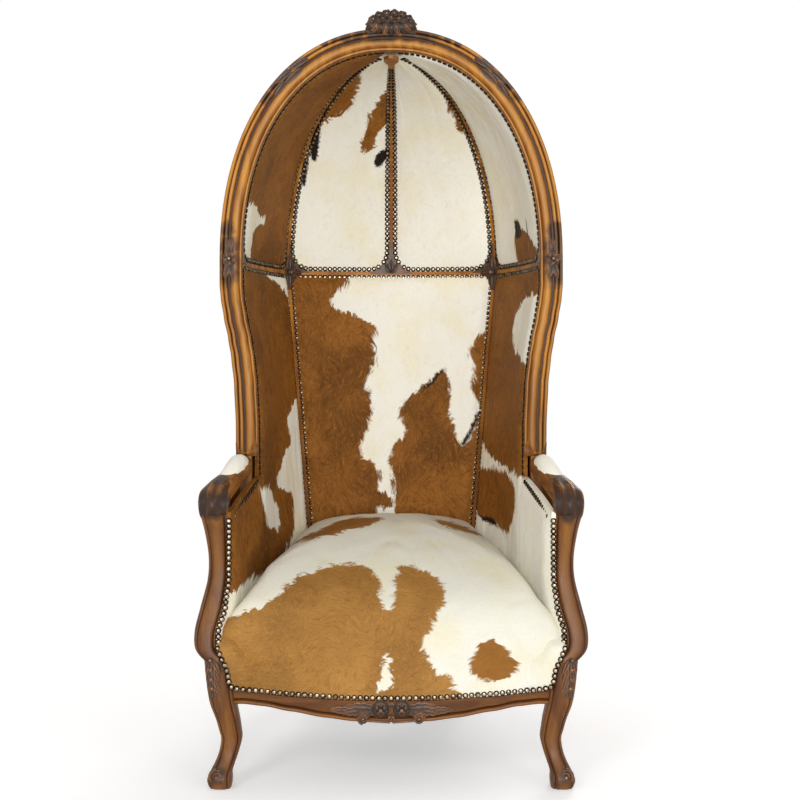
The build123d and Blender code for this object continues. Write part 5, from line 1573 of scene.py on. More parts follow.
@dataclass
class Upholstery:
    """Inner panels, outer covers and arm pads.

    Each place on a panel is counted from 0 to 1 across and up. On an inner panel the distance goes away
    from the sitter, on an outer cover it goes inwards from the face.
    """

    paints: Paints
    shape: Barrel = BARREL
    low: float = 0.2556
    cover_thickness: float = 0.004
    wing_front: float = -0.1137
    plates: Shell = field(default_factory=Shell)
    corners: list[tuple[Vector, Vector, Vector]] = field(default_factory=list)
    pad_rows: tuple[Row, ...] = (
        (0.3285, -0.171, 0.6500, 0.030, 0.010), (0.330, -0.180, 0.6490, 0.037, 0.020),
        (0.333, -0.200, 0.6460, 0.042, 0.025), (0.337, -0.225, 0.6385, 0.043, 0.026),
        (0.343, -0.250, 0.6290, 0.042, 0.024), (0.350, -0.272, 0.6200, 0.039, 0.018),
        (0.3535, -0.286, 0.6150, 0.031, 0.009),
    )

    def back_at(self, outer: bool, u: float, v: float, out: float) -> Vector:
        """Place on the back, or on its outer cover.

        Args:
            outer: on the outer cover.
            u: from left to right.
            v: from low to high.
            out: distance from the surface.

        Returns:
            The point.
        """
        shape, t = self.shape, u * 2.0 - 1.0
        if outer:
            z = self.low + (shape.band_z - self.low) * v
            x, y = shape.stile(z, 0.0, shape.corner_cover)
            bow = shape.back_middle(z) + shape.cover - y
            return Vector((x * t, y + bow * (1.0 - t * t) + self.cover_thickness - out, z))
        z = self.low + (shape.band_z - shape.clear - self.low) * v
        x, y = shape.stile(z, -shape.clear, 0.0)
        return Vector((x * t + 0.02 * t * out, y + (shape.back_middle(z) - y) * (1.0 - t * t) + out, z))

    def wing_at(self, side: float, outer: bool, u: float, v: float, out: float) -> Vector:
        """Place on a wing, or on its outer cover.

        Args:
            side: 1 for right, -1 for left.
            outer: on the outer cover.
            u: from front to rear.
            v: from low to high.
            out: distance from the surface.

        Returns:
            The point.
        """
        shape = self.shape
        if outer:
            z = self.low + (shape.band_z - self.low) * v
            start, end = (shape.half(z) + shape.cover, self.wing_front), shape.stile(z, 0.0, shape.corner_cover)
            out = self.cover_thickness - out
        else:
            z = self.low + (shape.band_z - shape.clear - self.low) * v
            start, end = (shape.half(z), shape.pole_y), shape.stile(z, shape.clear, 0.0)
        return mirror(Vector((*shape.bowed(start, end, u, out), z)), side)

    def arm_at(self, side: float, outer: bool, u: float, v: float, out: float) -> Vector:
        """Place under the arm, or on its outer cover.

        Args:
            side: 1 for right, -1 for left.
            outer: on the outer cover.
            u: from front to rear.
            v: from low to high.
            out: distance from the surface.

        Returns:
            The point.
        """
        top = 0.572 + 0.046 * u if outer else 0.566 + 0.052 * u
        z = self.low + (top - self.low) * v
        if outer:
            start, end = on_line(POST_FACE, z) + 0.030, self.shape.half(0.0) + self.shape.cover
            y, away = -0.286 + 0.172 * u, (self.cover_thickness, -out)
        else:
            start, end, face = on_line(POST_FACE, z) - 0.003, self.shape.half(0.0), on_line(POST_FRONT, z)
            y, away = face + (-0.1365 - face) * u, (out, 0.004 * math.sin(math.pi * u))
        return mirror(Vector((start + (end - start) * u + away[0] + away[1], y, z)), side)

    def dome_at(self, side: float, rear: bool, u: float, v: float, out: float) -> Vector:
        """Place on a dome panel.

        Args:
            side: 1 for right, -1 for left.
            rear: behind the rib, not beside it.
            u: along the band.
            v: from the band to the crown.
            out: distance from the surface.

        Returns:
            The point.
        """
        shape = self.shape
        foot = shape.turn_at(shape.clear)
        if rear:
            end = shape.stile(shape.band_z, -shape.clear, 0.0)
            x = shape.clear + (end[0] - shape.clear) * u
            plan = (x, end[1] + (shape.back_y - end[1]) * (1.0 - (x / end[0]) ** 2))
        else:
            plan = shape.bowed((shape.inner_x, shape.pole_y), shape.stile(shape.band_z, shape.clear, 0.0), u, 0.0)
        return mirror(shape.dome(plan, foot + (86.6 - foot) * v, out), side)

    def dome_cover_at(self, side: float, rear: bool, u: float, v: float, out: float) -> Vector:
        """Place on the dome's outer cover.

        Args:
            side: 1 for right, -1 for left.
            rear: behind the rib, not beside it.
            u: towards the corner.
            v: from the band to the crown.
            out: distance from the surface.

        Returns:
            The point.
        """
        shape = self.shape
        if rear:
            x, bow = shape.corner[0] * u, shape.back_y - shape.corner[1]
            plan = (max(x, 0.0001), shape.corner[1] + bow * (1.0 - u * u))
        else:
            plan = shape.bowed((shape.inner_x, shape.pole_y), shape.corner, u, 0.0)
        point = shape.dome(plan, 88.0 * v, shape.cover + 0.016 * u * u + self.cover_thickness - out)
        point.y = max(point.y, -0.1136)
        return mirror(point, side)

    def dome(self, side: float, rear: bool) -> None:
        """A dome panel with its corner plates.

        Args:
            side: 1 for right, -1 for left.
            rear: the panel behind the rib, not beside it.
        """
        name = ("dome_pad_back_" if rear else "dome_pad_side_") + side_name(side)
        width = math.dist(self.shape.corner, (0.0, self.shape.back_y)) if rear else 0.39
        surface = partial(self.dome_at, side, rear)
        panel = StuffedPanel(name, surface, width, 0.62, 0.008, 0.010, 76, 120, 9.0 + side + 2.0 * rear,
                             round_foot=ROUND, ramp=0.026)
        panel.build(self.paints.domes[name])
        panel.corner_plates(self.plates)
        for u, way in ((0.0, 0.01), (1.0, -0.01)):
            foot = surface(u, 0.0, 0.0)
            self.corners.append((foot, (surface(u + way, 0.0, 0.0) - foot).normalized(),
                                 (surface(u, 0.01, 0.0) - foot).normalized()))

    def cover(self, name: str, surface: Surface, size: Plan, columns: int, rows: int, seed: float,
              puff: float = 0.003) -> None:
        """An outer cover of the given width and height."""
        StuffedPanel(name, surface, *size, puff, self.cover_thickness, columns, rows, seed,
                     pitch=0.03).build(self.paints.outer, Slot.OUTER_HIDE, 0.3)

    def arm_pad(self, side: float) -> None:
        """The small pad on the arm.

        Args:
            side: 1 for right, -1 for left.
        """
        shell, cells = Shell(), []
        for share in (n / 60 for n in range(61)):
            x, y, z, wide, rise = through(self.pad_rows, share)
            end = math.sqrt(max(0.02, 1.0 - (2.0 * share - 1.0) ** 8))
            ring = []
            for angle in around(40):
                c, s = math.cos(angle), math.sin(angle)
                upper = s >= 0.0
                lift = rise * end * (abs(s) ** 0.8) if upper else -0.004 * abs(s)
                pucker = 0.0007 * math.sin(angle * 14.0 + share * 30.0) * bell(s, 0.1, 0.25)
                soft = 0.0012 * wobble(share * 5.0, c * 1.4, s, 4.0 + side)
                point = Vector((x + c * (wide / 2.0 * end + pucker), y, z + lift + soft * upper))
                ring.append((mirror(point, side), 0.8))
            cells.append(ring)
        shell.rings(cells)
        shell.make("arm_pad_" + side_name(side), self.paints.arm_white, Slot.INNER_HIDE, 0.85)

    def build(self) -> None:
        """Build every panel."""
        StuffedPanel("back_pad", partial(self.back_at, False), 0.49, 0.83, 0.014, 0.012, 110, 160, 1.0,
                     (True, True, False, True)).build(self.paints.back)
        self.cover("outer_back", partial(self.back_at, True), (0.6, 0.84), 90, 90, 21.0)
        for side in SIDES:
            name = side_name(side)
            wing, arm = partial(self.wing_at, side), partial(self.arm_at, side)
            StuffedPanel("wing_pad_" + name, partial(wing, False), 0.38, 0.83, 0.010, 0.010, 84, 160, 2.0 + side,
                         (True, True, False, True)).build(self.paints.wings[name])
            StuffedPanel("arm_side_pad_" + name, partial(arm, False), 0.19, 0.33, 0.008, 0.009, 48, 80, 5.0 + side,
                         (True, False, False, True)).build(self.paints.wings[name])
            self.arm_pad(side)
            self.cover("outer_wing_" + name, partial(wing, True), (0.4, 0.84), 60, 90, 23.0 + side)
            self.cover("outer_arm_" + name, partial(arm, True), (0.17, 0.33), 36, 60, 26.0 + side, 0.002)
            for rear, kind in ((False, "side_"), (True, "back_")):
                self.dome(side, rear)
                self.cover("dome_cover_" + kind + name, partial(self.dome_cover_at, side, rear), (0.36, 0.66), 60,
                           80, 31.0 + side + 2.0 * rear)


# Edge of the seat's hide over the legs: height and place across.
CHEEK = ((0.2035, 0.312), (0.212, 0.326), (0.224, 0.3315), (0.240, 0.3335), (0.258, 0.3400), (0.275, 0.3490),
         (0.291, 0.3545), (0.3085, 0.3555), (0.320, 0.3520))


@dataclass
class Seat:
    """The crowned, sprung seat with its front skirt.

    Rows are shares of height, front width, front reach, rear width and rear reach.
    """

    paints: Paints
    low: float = 0.2556
    high: float = 0.502
    peak_y: float = 0.023
    steps: int = 66
    front_bow: float = 0.012
    rear_bow: float = 0.020
    flank_bow: float = 0.036
    rows: tuple[Row, ...] = (
        (0.0, 0.985, 1.010, 0.903, 0.938), (0.149, 1.06, 1.014, 0.923, 0.948),
        (0.27, 1.065, 1.006, 0.944, 0.959), (0.384, 1.010, 0.985, 0.964, 0.969),
        (0.497, 0.930, 0.940, 0.979, 0.984), (0.619, 0.855, 0.84, 0.99, 0.995), (0.732, 0.772, 0.699, 1.0, 1.0),
        (0.838, 0.635, 0.542, 0.964, 0.979), (0.919, 0.469, 0.39, 0.718, 0.793),
        (0.976, 0.273, 0.244, 0.41, 0.534), (1.0, 0.113, 0.121, 0.185, 0.223),
    )

    def ring(self, row: Sequence[float]) -> list[Vector]:
        """One level line of the seat.

        Args:
            row: its shares.

        Returns:
            Its points.
        """
        up, wide, fore, rear_wide, aft = row
        z = self.low + (self.high - self.low) * up
        fx, fy = 0.337 * wide, self.peak_y + (-0.345 - self.peak_y) * fore
        rx, ry = 0.195 * rear_wide, self.peak_y + (0.216 - self.peak_y) * aft
        even = [n / 40.0 for n in range(40)]
        right, left = ([(side * (fx + (rx - fx) * t + self.flank_bow * t * (1.0 - t)), fy + (ry - fy) * t)
                        for t in shares] for side, shares in ((1.0, even), (-1.0, [1.0 - n for n in even])))
        plan = [(fx * t, fy - self.front_bow * wide * (1.0 - t * t)) for t in (n / 28.0 - 1.0 for n in range(56))]
        plan += right
        plan += [(rx * t, ry + self.rear_bow * rear_wide * (1.0 - t * t)) for t in (1.0 - n * 2.0 for n in even)]
        points = [Vector((x, y, z)) for x, y in plan + left]
        for _ in range(5):
            points = [(before + point * 2.0 + after) / 4.0
                      for before, point, after in zip(points[-1:] + points, points, points[1:] + points[:1])]
        return points

    def cheek(self, shell: Shell, side: float) -> None:
        """The hide carried over the front of the leg to its nails.

        Args:
            shell: the mesh to add to.
            side: 1 for right, -1 for left.
        """
        cells, inner = [], 0.270
        for v in (r / 30.0 for r in range(31)):
            z = 0.2035 + 0.1165 * v
            row = []
            for t in (c / 24.0 for c in range(25)):
                x = inner + (on_line(CHEEK, z) - inner) * t
                at_edge = smooth(x, 0.305, 0.332)
                y = skirt_front(x) - 0.003 * math.sin(math.pi * t) * math.sin(math.pi * v)
                y += 0.024 * smooth(z, 0.290, 0.322) * at_edge
                y += 0.026 * smooth(z, 0.255, 0.320) * (1.0 - at_edge)
                row.append((mirror(Vector((x, y, z)), side), mirror(Vector((x, y + 0.0035, z)), side), 0.8))
            cells.append(row)
        shell.sheet(cells)

    def skirt(self, top: list[Vector]) -> list[list[Vector]]:
        """The front, down to the nails of the rail.

        Args:
            top: the lowest ring of the seat proper.

        Returns:
            Its rings, from inside out and up.
        """
        upper, inner, edge = [], [], []
        for point in top:
            front = smooth(-point.y, 0.325, 0.338) * smooth(0.336 - abs(point.x), 0.0, 0.006)
            z = self.low + (on_line(NAIL_EDGE, abs(point.x)) + 0.0003 - self.low) * front
            y = point.y + (rail_front(point.x) - 0.0006 - point.y) * front
            edge.append(Vector((point.x, y, z)))
            inner.append(Vector((point.x * 0.985, point.y + 0.0058, z + 0.0002)))
            upper.append(Vector((point.x * 0.98, point.y + 0.0060, self.low + 0.0001)))
        rings = [upper, inner]
        for share in (n / 12 for n in range(12)):
            ring = [a.lerp(b, share) for a, b in zip(edge, top)]
            for spot, a, b in zip(ring, edge, top):
                spot.y -= 0.0018 * math.sin(math.pi * share) * smooth(b.z - a.z, 0.01, 0.04)
            rings.append(ring)
        return rings

    def softened(self, point: Vector, level: int) -> Vector:
        """A point with the waves and creases of the hide and the pull of the nails.

        Args:
            point: the smooth seat's point.
            level: number of its ring.

        Returns:
            The point of the hide.
        """
        body = smooth(level, 3.0, 16.0)
        soft = 0.0042 * wobble(point.x * 7.0, point.y * 7.0, point.z * 9.0, 41.0)
        soft += 0.0016 * wobble(point.x * 22.0, point.y * 22.0, point.z * 26.0, 43.0)
        soft -= 0.0018 * bell(wobble(point.x * 11.0, point.y * 5.0, point.z * 12.0, 47.0), 0.0, 0.06)
        out = Vector((point.x, point.y - self.peak_y, (point.z - 0.30) * 1.6))
        moved = point + out.normalized() * soft * body if out.length > 0.001 else point.copy()
        near = bell(point.z, 0.187, 0.012) * smooth(-point.y, 0.33, 0.345)
        moved.y += 0.0010 * near * (0.5 + 0.5 * math.cos(math.tau * point.x / NAIL_PITCH))
        return moved

    def build(self) -> None:
        """Make the seat."""
        shell = Shell()
        for side in SIDES:
            self.cheek(shell, side)
        rings = [self.ring(through(self.rows, n / self.steps)) for n in range(self.steps + 1)]
        rings = self.skirt(rings[0]) + rings
        shell.rings([[(self.softened(point, level) if level > 1 else point, 0.8) for point in ring]
                     for level, ring in enumerate(rings)])
        shell.make("seat_pad", self.paints.seat, Slot.SEAT_HIDE, 0.9)


def skirt_front(x: float) -> float:
    """Face of the seat's hide in front of rail and leg, its Y at a place across."""
    return -0.3475 - 0.0155 * smooth(x, 0.262, 0.326)


# Carvings and nails.


@dataclass
class Carvings:
    """Every applied ornament."""

    paints: Paints
    plates: Shell
    shape: Barrel = BARREL
    rail_face: float = -0.3595

    def crest(self, shell: Shell) -> None:
        """Blossoms over a fan of drooping petals.

        Args:
            shell: the mesh to add to.
        """
        half = ((0.0, 1.602), (0.03, 1.6005), (0.054, 1.597), (0.050, 1.612), (0.038, 1.632), (0.018, 1.643),
                (0.0, 1.645))
        outline = [(-x, z) for x, z in half[2:0:-1]] + list(half) + [(-x, z) for x, z in half[5:2:-1]]
        shell.rings([[(Vector((x * share, y, z)), 0.1) for x, z in outline]
                     for share, y in ((0.95, -0.128), (1.0, -0.160))])
        for number in range(9):
            share, odd = number / 4.0 - 1.0, number % 2
            spot = facing_front(share * 0.033, -0.1640 - 0.0020 * odd, 1.6240 - 0.004 * abs(share),
                                270.0 + share * 60.0)
            shell.petal(spot, 0.0315 - 0.005 * abs(share), 0.0160, 0.0095, 0.42, 0.003, 0.12, 0,
                        1.05 if odd else 0.42)
        for share in (number / 2.5 - 1.0 for number in range(6)):
            spot = facing_front(share * 0.036, -0.1655, 1.6270 + 0.004 * (1.0 - share * share),
                                270.0 + share * 70.0)
            shell.petal(spot, 0.018, 0.013, 0.009, 0.5, 0.002, 0.25, 0, 0.9)
        blossoms = ((-0.0395, 1.6270, 0.0115), (-0.0265, 1.6350, 0.0120), (-0.0100, 1.6390, 0.0120),
                    (0.0070, 1.6395, 0.0120), (0.0240, 1.6360, 0.0120), (0.0380, 1.6280, 0.0115),
                    (-0.0180, 1.6270, 0.0105), (0.0, 1.6290, 0.0110), (0.0170, 1.6270, 0.0105))
        for index, (x, z, radius) in enumerate(blossoms):
            spot = facing_front(x, -0.1640 - 0.004 * (index > 5), z)
            shell.boss(spot, radius * 0.92, 0.006, 14, 4, 0.3)
            shell.flower(spot @ shift(z=0.002), radius, 5, 0.008, 90.0 + 23.0 * index, 1, 0.72)
        for side in SIDES:
            for reach, height, turn in ((0.048, 1.612, -26.0), (0.043, 1.619, -2.0)):
                angle = turn if side > 0 else 180.0 - turn
                shell.petal(facing_front(side * reach * 0.82, -0.161, height, angle), 0.022, 0.011, 0.006, 0.6)

    def side_flowers(self, shell: Shell) -> None:
        """Flowers with leaf pairs over the joints of arch and upright.

        Args:
            shell: the mesh to add to.
        """
        z = 1.101
        for x in (0.358 * side for side in SIDES):
            shell.flower(facing_front(x, -0.1605, z), 0.0175, 5, 0.0055)
            for way, lean in ((way, lean) for way in SIDES for lean in SIDES):
                spot = facing_front(x + 0.002 * lean, -0.1600, z + way * 0.014, 90.0 * way + 15.0 * lean)
                shell.petal(spot, 0.032, 0.0135, 0.0045, 0.75, 0.0005)

    def arch_leaves(self, shell: Shell) -> None:
        """Long leaves on the shoulders of the arch.

        Args:
            shell: the mesh to add to.
        """
        shape = self.shape
        leaves = ((62.0, 0.036, 0.052, 0.0125, 4.0), (58.5, 0.026, 0.058, 0.0130, -3.0),
                  (55.0, 0.037, 0.046, 0.0115, 5.0), (51.5, 0.028, 0.044, 0.0110, -5.0))
        for side in SIDES:
            for turn, reach, long, wide, lean in leaves:
                foot, ahead = (mirror(Vector(((shape.inner_x + reach) * shape.shrink(t), -0.1600,
                                              shape.band_z + (shape.rise + reach) * shape.climb(t))), side)
                               for t in (turn, turn - 2.0))
                step = ahead - foot
                angle = math.degrees(math.atan2(step.z, step.x)) + lean * side
                shell.petal(facing_front(*foot, angle), long, wide, 0.0040, 0.75, 0.0005, 0.6, 0, 0.9)

    def rosettes(self, shell: Shell) -> None:
        """Stars over the corners, where rib, band and stile cross, and a leaf at the middle rib.

        Args:
            shell: the mesh to add to.
        """
        x, y = self.shape.corner
        out = Vector((-x, self.shape.pole_y - y, 0.0)).normalized()
        spot, level = Vector((x, y, self.shape.band_z)) + out * 0.009, Vector((-out.y, out.x, 0.0))
        for side in SIDES:
            place = placed(mirror(spot, side), mirror(level, side), mirror(out, side))
            for number in range(4):
                shell.petal(place @ spin(90.0 * number) @ shift(0.002), 0.043 if number % 2 else 0.034, 0.0215,
                            0.0055, 0.9, 0.001, 0.5, 0, 0.82)
            for number in range(4):
                shell.petal(place @ spin(45.0 + 90.0 * number), 0.024, 0.014, 0.0038, 0.8, 0.001, 0.5, 0, 0.6)
            shell.boss(place @ shift(z=0.0035), 0.0085, 0.0050, 18, 5, 0.7)
            shell.boss(place @ shift(z=0.0072), 0.0048, 0.0040, 14, 4)
        foot = facing_front(0.0, self.shape.back_y - 0.0085, self.shape.band_z + 0.002, 90.0)
        for tilt in (34.0, -34.0, 0.0):
            shell.petal(foot @ spin(tilt), 0.034 - 0.006 * (tilt != 0.0), 0.0150, 0.0045, 0.75, 0.001, 0.5, 0, 0.75)

    def rail_carving(self, shell: Shell) -> None:
        """Two roses between long leaves and small scrolls.

        Args:
            shell: the mesh to add to.
        """
        face = self.rail_face
        leaves = ((0.034, 0.060, 0.022, 7.0), (0.052, 0.056, 0.019, -5.0), (0.076, 0.052, 0.016, 4.0),
                  (0.040, 0.036, 0.014, -24.0))
        for side in SIDES:
            place = facing_front(side * 0.0215, face - 0.001, 0.1650)
            shell.boss(place, 0.0175, 0.0030, 24, 3, 0.25)
            shell.flower(place, 0.0190, 5, 0.0065, 90.0, 2, 0.78)
            for n, (start, long, wide, lean) in enumerate(leaves):
                spot = facing_front(side * start, rail_front(start + long / 2.0) - 0.0012, 0.1655 - 0.002 * n,
                                    lean if side > 0 else 180.0 - lean)
                shell.petal(spot, long, wide, 0.0045, 0.8, 0.001, 0.55, 4)
            shell.scroll(facing_front(side * 0.0575, face - 0.0002, 0.1462, 4.0 if side > 0 else 176.0), 0.0108,
                         0.0030, 1.5, side)
            path = [Vector((side * (0.0500 - 0.0095 * n), face - 0.0005, 0.1420 - 0.0006 * n)) for n in range(6)]
            shell.tube(path, [0.0027] * 6, 0.7)
        shell.petal(facing_front(0.0, face - 0.0008, 0.1530, 270.0), 0.0125, 0.014, 0.004, 0.6)
        shell.petal(facing_front(0.0, face - 0.0008, 0.1700, 90.0), 0.0105, 0.012, 0.004, 0.6)

    def knee_leaves(self, shell: Shell) -> None:
        """Husks that hang over the knees.

        Args:
            shell: the mesh to add to.
        """
        husks = ((0.266, 0.033, 0.026, 0.0), (0.246, 0.030, 0.024, 1.0), (0.226, 0.028, 0.021, 2.5),
                 (0.207, 0.024, 0.017, 4.5))
        for side in SIDES:
            for z, long, wide, back in husks:
                place = placed(Vector((side * (0.368 - 0.0007 * back), -0.3610 + 0.0011 * back, z)),
                               Vector((1.0, side * 0.35, 0.0)), Vector((side * 0.35, -1.0, 0.0)))
                for tilt in (-26.0, 26.0, 0.0):
                    shell.petal(place @ spin(270.0 + tilt - 6.0 * side), long, wide * 0.62,
                                0.0048 + 0.001 * (tilt == 0.0), 0.6, 0.0015)
                shell.boss(place @ shift(0.0, 0.001, 0.003), 0.0040, 0.0035)

    def build(self) -> None:
        """Build every carving."""
        for name, carve, shell in (
                ("crest_carving", self.crest, Shell()), ("side_flowers", self.side_flowers, Shell()),
                ("arch_leaves", self.arch_leaves, Shell()), ("corner_rosettes", self.rosettes, self.plates),
                ("rail_carving", self.rail_carving, Shell()), ("knee_leaves", self.knee_leaves, Shell())):
            carve(shell)
            shell.make(name, self.paints.carved, Slot.CARVED_WOOD)


@dataclass
class NailRows:
    """Domed nails, set where the frame's nails stand; a nail is a place and a direction."""

    paints: Paints
    corners: list[tuple[Vector, Vector, Vector]]
    inset: float = 0.0055
    radius: float = 0.0063
    rise: float = 0.0036
    nodes: tuple[str, ...] = ("dome_nails", "front_frame_nails", "back_frame_nails", "arm_nails", "seat_nails")

    @staticmethod
    def groups(node: str) -> list[list[Vector]]:
        """The points of each nail of a CAD node.

        Args:
            node: its name.

        Returns:
            The points, nail by nail.
        """
        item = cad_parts[node]
        work = bmesh.new()
        work.from_mesh(item.data)
        work.transform(item.matrix_world)
        bmesh.ops.remove_doubles(work, verts=work.verts, dist=0.00001)
        work.verts.ensure_lookup_table()
        seen: set[int] = set()
        groups = []
        for vert in work.verts:
            if vert.index in seen:
                continue
            group, queue = [], [vert]
            seen.add(vert.index)
            while queue:
                one = queue.pop()
                group.append(one.co.copy())
                for other in (edge.other_vert(one) for edge in one.link_edges):
                    if other.index not in seen:
                        seen.add(other.index)
                        queue.append(other)
            groups.append(group)
        work.free()
        return groups

    @staticmethod
    def seat_of(group: list[Vector]) -> Nail:
        """Where a nail sits and which way it faces.

        Args:
            group: its points.

        Returns:
            Middle of its rim, and its direction.
        """
        middle = sum(group, Vector()) / len(group)
        far = max((p - middle).length for p in group)
        tips = [p for p in group if (p - middle).length > 0.88 * far]
        tip = sum(tips, Vector()) / len(tips)
        axis = (middle - tip).normalized()
        reaches = [((p - tip) - axis * (p - tip).dot(axis)).length for p in group]
        rim = [p for p, reach in zip(group, reaches) if reach > 0.9 * max(reaches)]
        return sum(rim, Vector()) / len(rim), axis

    def on_posts(self, spots: list[Nail]) -> list[Nail]:
        """Bring the post rows on to the faces of posts and legs.

        Args:
            spots: the rows under and beside the arms.

        Returns:
            The rows as the hide's edge runs.
        """
        found = [(spot, axis) for spot, axis in spots if spot.y > -0.312 or spot.z > 0.545]
        for side in SIDES:
            for z in (0.212 + (0.548 - 0.212) * n / 30.0 for n in range(31)):
                if z < 0.300:
                    x, y = on_line(CHEEK, z) + 0.0005, -0.3632 + 0.004 * smooth(z, 0.285, 0.300)
                else:
                    x, y = on_line(POST_FACE, z) + 0.0012, on_line(POST_FRONT, z) - 0.0014
                found.append((Vector((x * side, y, z)), Vector((-0.25 * side, -1.0, 0.0))))
        return found

    def rounded_in(self, spot: Vector) -> Vector | None:
        """A nail of rib or band, carried round the low corner of a dome panel if it is near one.

        Args:
            spot: its place.

        Returns:
            Its new place, or nothing where the rounded row is full.
        """
        reach = ROUND - self.inset
        for corner, level, upward in self.corners:
            away = spot - corner
            a, b = away.dot(level) - self.inset, away.dot(upward) - self.inset
            low, high = min(a, b), max(a, b)
            if away.length > ROUND * 1.6 or low < -0.005 or high > reach or low > 0.005:
                continue
            turned = (reach - high) / reach
            if turned > math.pi / 4.0 - (0.10 if a > b else -0.10):
                return None
            near, far = reach - reach * math.cos(turned), reach - reach * math.sin(turned)
            new_a, new_b = (far, near) if a > b else (near, far)
            return spot + level * (new_a - a) + upward * (new_b - b)
        return spot

    def to_the_crown(self) -> list[Nail]:
        """The last nails of the rib rows, up where the ribs meet.

        Returns:
            Pairs of place and direction.
        """
        found = []
        centre = Vector((0.0, BARREL.pole_y, BARREL.band_z))
        for plan, first, last, side in ((BARREL.corner, 80.0, 85.2, 1.0), (BARREL.corner, 80.0, 85.2, -1.0),
                                        ((0.0, BARREL.back_y), 83.0, 85.6, 1.0)):
            for hand in SIDES:
                before, turn = None, first
                while turn < last:
                    here = mirror(BARREL.dome(plan, turn, 0.0), side)
                    out = Vector((here.x, here.y - BARREL.pole_y, 0.0)).normalized()
                    here += Vector((-out.y, out.x, 0.0)) * hand * (self.inset + 0.006 * BARREL.shrink(turn))
                    before = before or here
                    if (here - before).length > NAIL_PITCH:
                        found.append((here, (centre - here).normalized()))
                        before = here
                    turn += 0.1
        return found

    def row(self, node: str) -> list[Nail]:
        """The nails of a node as they sit on the hides.

        Args:
            node: its name.

        Returns:
            Pairs of place and direction.
        """
        spots = [self.seat_of(group) for group in self.groups(node)]
        if node == "arm_nails":
            return self.on_posts(spots)
        if node == "seat_nails":
            for spot, _ in spots:
                x = abs(spot.x)
                spot.y = min(spot.y, skirt_front(x) + 0.0003 - 0.0016 * smooth(x, 0.255, 0.275))
            return spots
        moved = [(self.rounded_in(spot), axis) for spot, axis in spots]
        spots = [(spot, axis) for spot, axis in moved if spot is not None]
        if node == "dome_nails":
            spots = [(spot + axis * 0.0015, axis) for spot, axis in spots + self.to_the_crown()]
        return spots

    def build(self) -> None:
        """Build every row."""
        for node in self.nodes:
            shell, spots = Shell(), self.row(node)
            for index, (spot, axis) in enumerate(spots):
                tilt = Vector([wobble(index * 1.7, across, 0.0) for across in (0.3, 5.3, 9.3)]) * 0.16
                place = placed(spot + axis * 0.0002, axis.orthogonal(), axis + tilt)
                shell.boss(place, self.radius * (1.0 + 0.05 * wobble(index * 2.3, 1.1, 7.0)), self.rise, 14, 5)
            log.info("%s: %d nails", node, len(spots))
            shell.make(node, self.paints.brass, Slot.NAIL_BRASS)


# The studio.


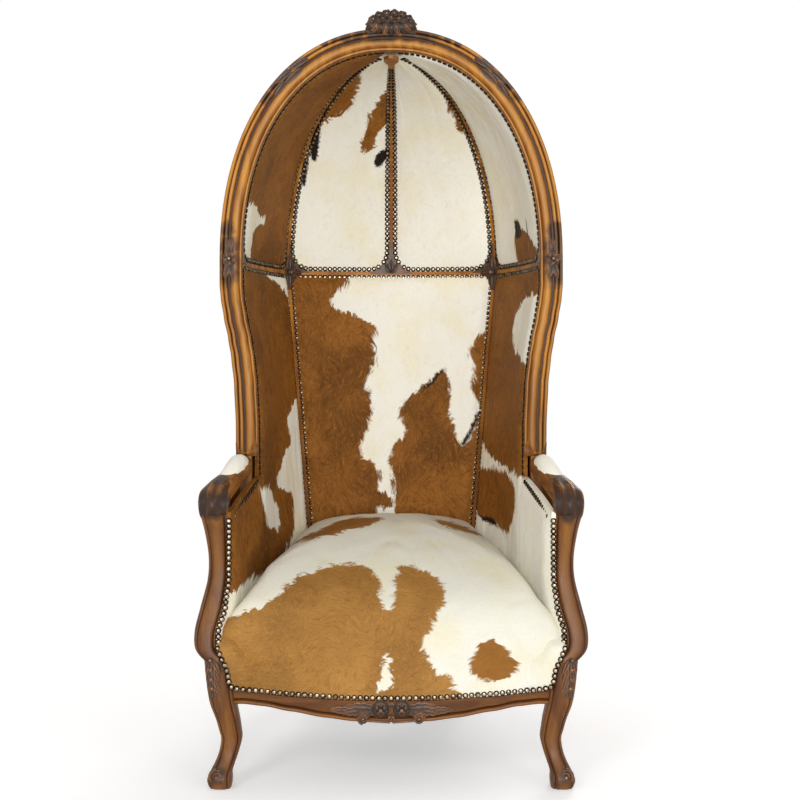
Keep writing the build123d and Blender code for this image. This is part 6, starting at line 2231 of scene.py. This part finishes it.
@dataclass
class Studio:
    """Camera, light and floor; lamps are rows of name, place, width and watts."""

    eye: Row = (0.0, -2.860, 0.921)
    lens: float = 55.0
    sensor: float = 36.0
    shift: Plan = (0.011, -0.075)
    middle: Row = (0.0, 0.0, 0.8)
    floor_reach: float = 6.0
    sky_colour: Row = (1.0, 0.99, 0.97, 1.0)
    sky_strength: float = 0.45
    white: Row = (1.0, 1.0, 1.0, 1.0)
    lamps: tuple[tuple[str, Row, float, float], ...] = (
        ("key", (-3.6, -6.0, 4.6), 2.4, 92.0), ("fill", (4.4, -5.4, 2.6), 3.4, 50.0),
        ("front", (0.2, -7.4, 1.5), 2.6, 272.0), ("top", (0.0, 0.6, 3.4), 1.8, 10.0),
        ("back", (2.6, 5.4, 3.0), 3.0, 120.0),
    )

    @staticmethod
    def stand(name: str, data: bpy.types.ID) -> bpy.types.Object:
        """Put data into the scene.

        Args:
            name: the object's name.
            data: its data.

        Returns:
            The object.
        """
        item = bpy.data.objects.new(name, data)
        bpy.context.scene.collection.objects.link(item)
        return item

    def camera(self) -> None:
        """Set the camera."""
        data = bpy.data.cameras.new("camera")
        data.lens, data.sensor_width = self.lens, self.sensor
        data.shift_x, data.shift_y = self.shift
        item = self.stand("camera", data)
        item.location = self.eye
        item.rotation_euler = (math.radians(90.0), 0.0, 0.0)
        bpy.context.scene.camera = item

    def lamp(self, name: str, place: Row, size: float, power: float) -> None:
        """Add a soft lamp that looks at the chair's middle.

        Args:
            name: its name.
            place: where it stands.
            size: its width.
            power: its power in watts.
        """
        data = bpy.data.lights.new(name, "AREA")
        data.shape, data.size, data.energy = "DISK", size, power
        item = self.stand(name, data)
        item.location = place
        item.rotation_euler = (Vector(self.middle) - Vector(place)).to_track_quat("-Z", "Y").to_euler()

    def floor(self) -> None:
        """Pale floor that fades into the white behind."""
        mesh = bpy.data.meshes.new("floor")
        reach = self.floor_reach
        mesh.from_pydata([(-reach, -reach, 0.0), (reach, -reach, 0.0), (reach, reach, 0.0), (-reach, reach, 0.0)],
                         [], [(0, 1, 2, 3)])
        s = Sheet("floor")
        s.done(Base_Color=(0.93, 0.93, 0.93), Roughness=0.8, Emission_Color=(1.0, 1.0, 1.0), Emission_Strength=0.3)
        clear = s.add("ShaderNodeBsdfTransparent").outputs[0]
        fade = s.step(s.vector("LENGTH", s.at), 0.8, 2.4)
        mix = s.add("ShaderNodeMixShader", {0: fade, 1: s.shader.outputs[0], 2: clear})
        s.tree.links.new(mix.outputs[0], s.tree.nodes["Material Output"].inputs[0])
        mesh.materials.append(s.material)
        self.stand("floor", mesh)

    def sky(self) -> None:
        """White for the camera, plain soft light for the object."""
        world = bpy.data.worlds.new("studio")
        bpy.context.scene.world = world
        world.use_nodes = True
        nodes, join = world.node_tree.nodes, world.node_tree.links.new
        nodes.clear()
        path, mix = nodes.new("ShaderNodeLightPath"), nodes.new("ShaderNodeMixShader")
        join(mix.outputs[0], nodes.new("ShaderNodeOutputWorld").inputs[0])
        for number, colour, strength in ((1, self.sky_colour, self.sky_strength), (2, self.white, 1.0)):
            light = nodes.new("ShaderNodeBackground")
            light.inputs[0].default_value, light.inputs[1].default_value = colour, strength
            join(light.outputs[0], mix.inputs[number])
        seen = path.outputs["Is Camera Ray"]
        for kind in ("Is Glossy Ray", "Is Transmission Ray"):
            either = nodes.new("ShaderNodeMath")
            either.operation = "MAXIMUM"
            join(seen, either.inputs[0])
            join(path.outputs[kind], either.inputs[1])
            seen = either.outputs[0]
        join(seen, mix.inputs[0])

    def build(self) -> None:
        """Set up the studio."""
        bpy.context.scene.view_settings.view_transform = "Standard"
        self.camera()
        self.sky()
        self.floor()
        for row in self.lamps:
            self.lamp(*row)


def main() -> None:
    """Build the chair."""
    logging.basicConfig(level=logging.INFO, format="%(message)s")
    paints = Paints()
    ShowFrame(paints).build()
    LegsAndArms(paints).build()
    SeatFrame(paints).build()
    BarrelWood(paints).build()
    upholstery = Upholstery(paints)
    upholstery.build()
    Seat(paints).build()
    Carvings(paints, upholstery.plates).build()
    NailRows(paints, upholstery.corners).build()
    Studio().build()


if __name__ == "__main__":
    main()
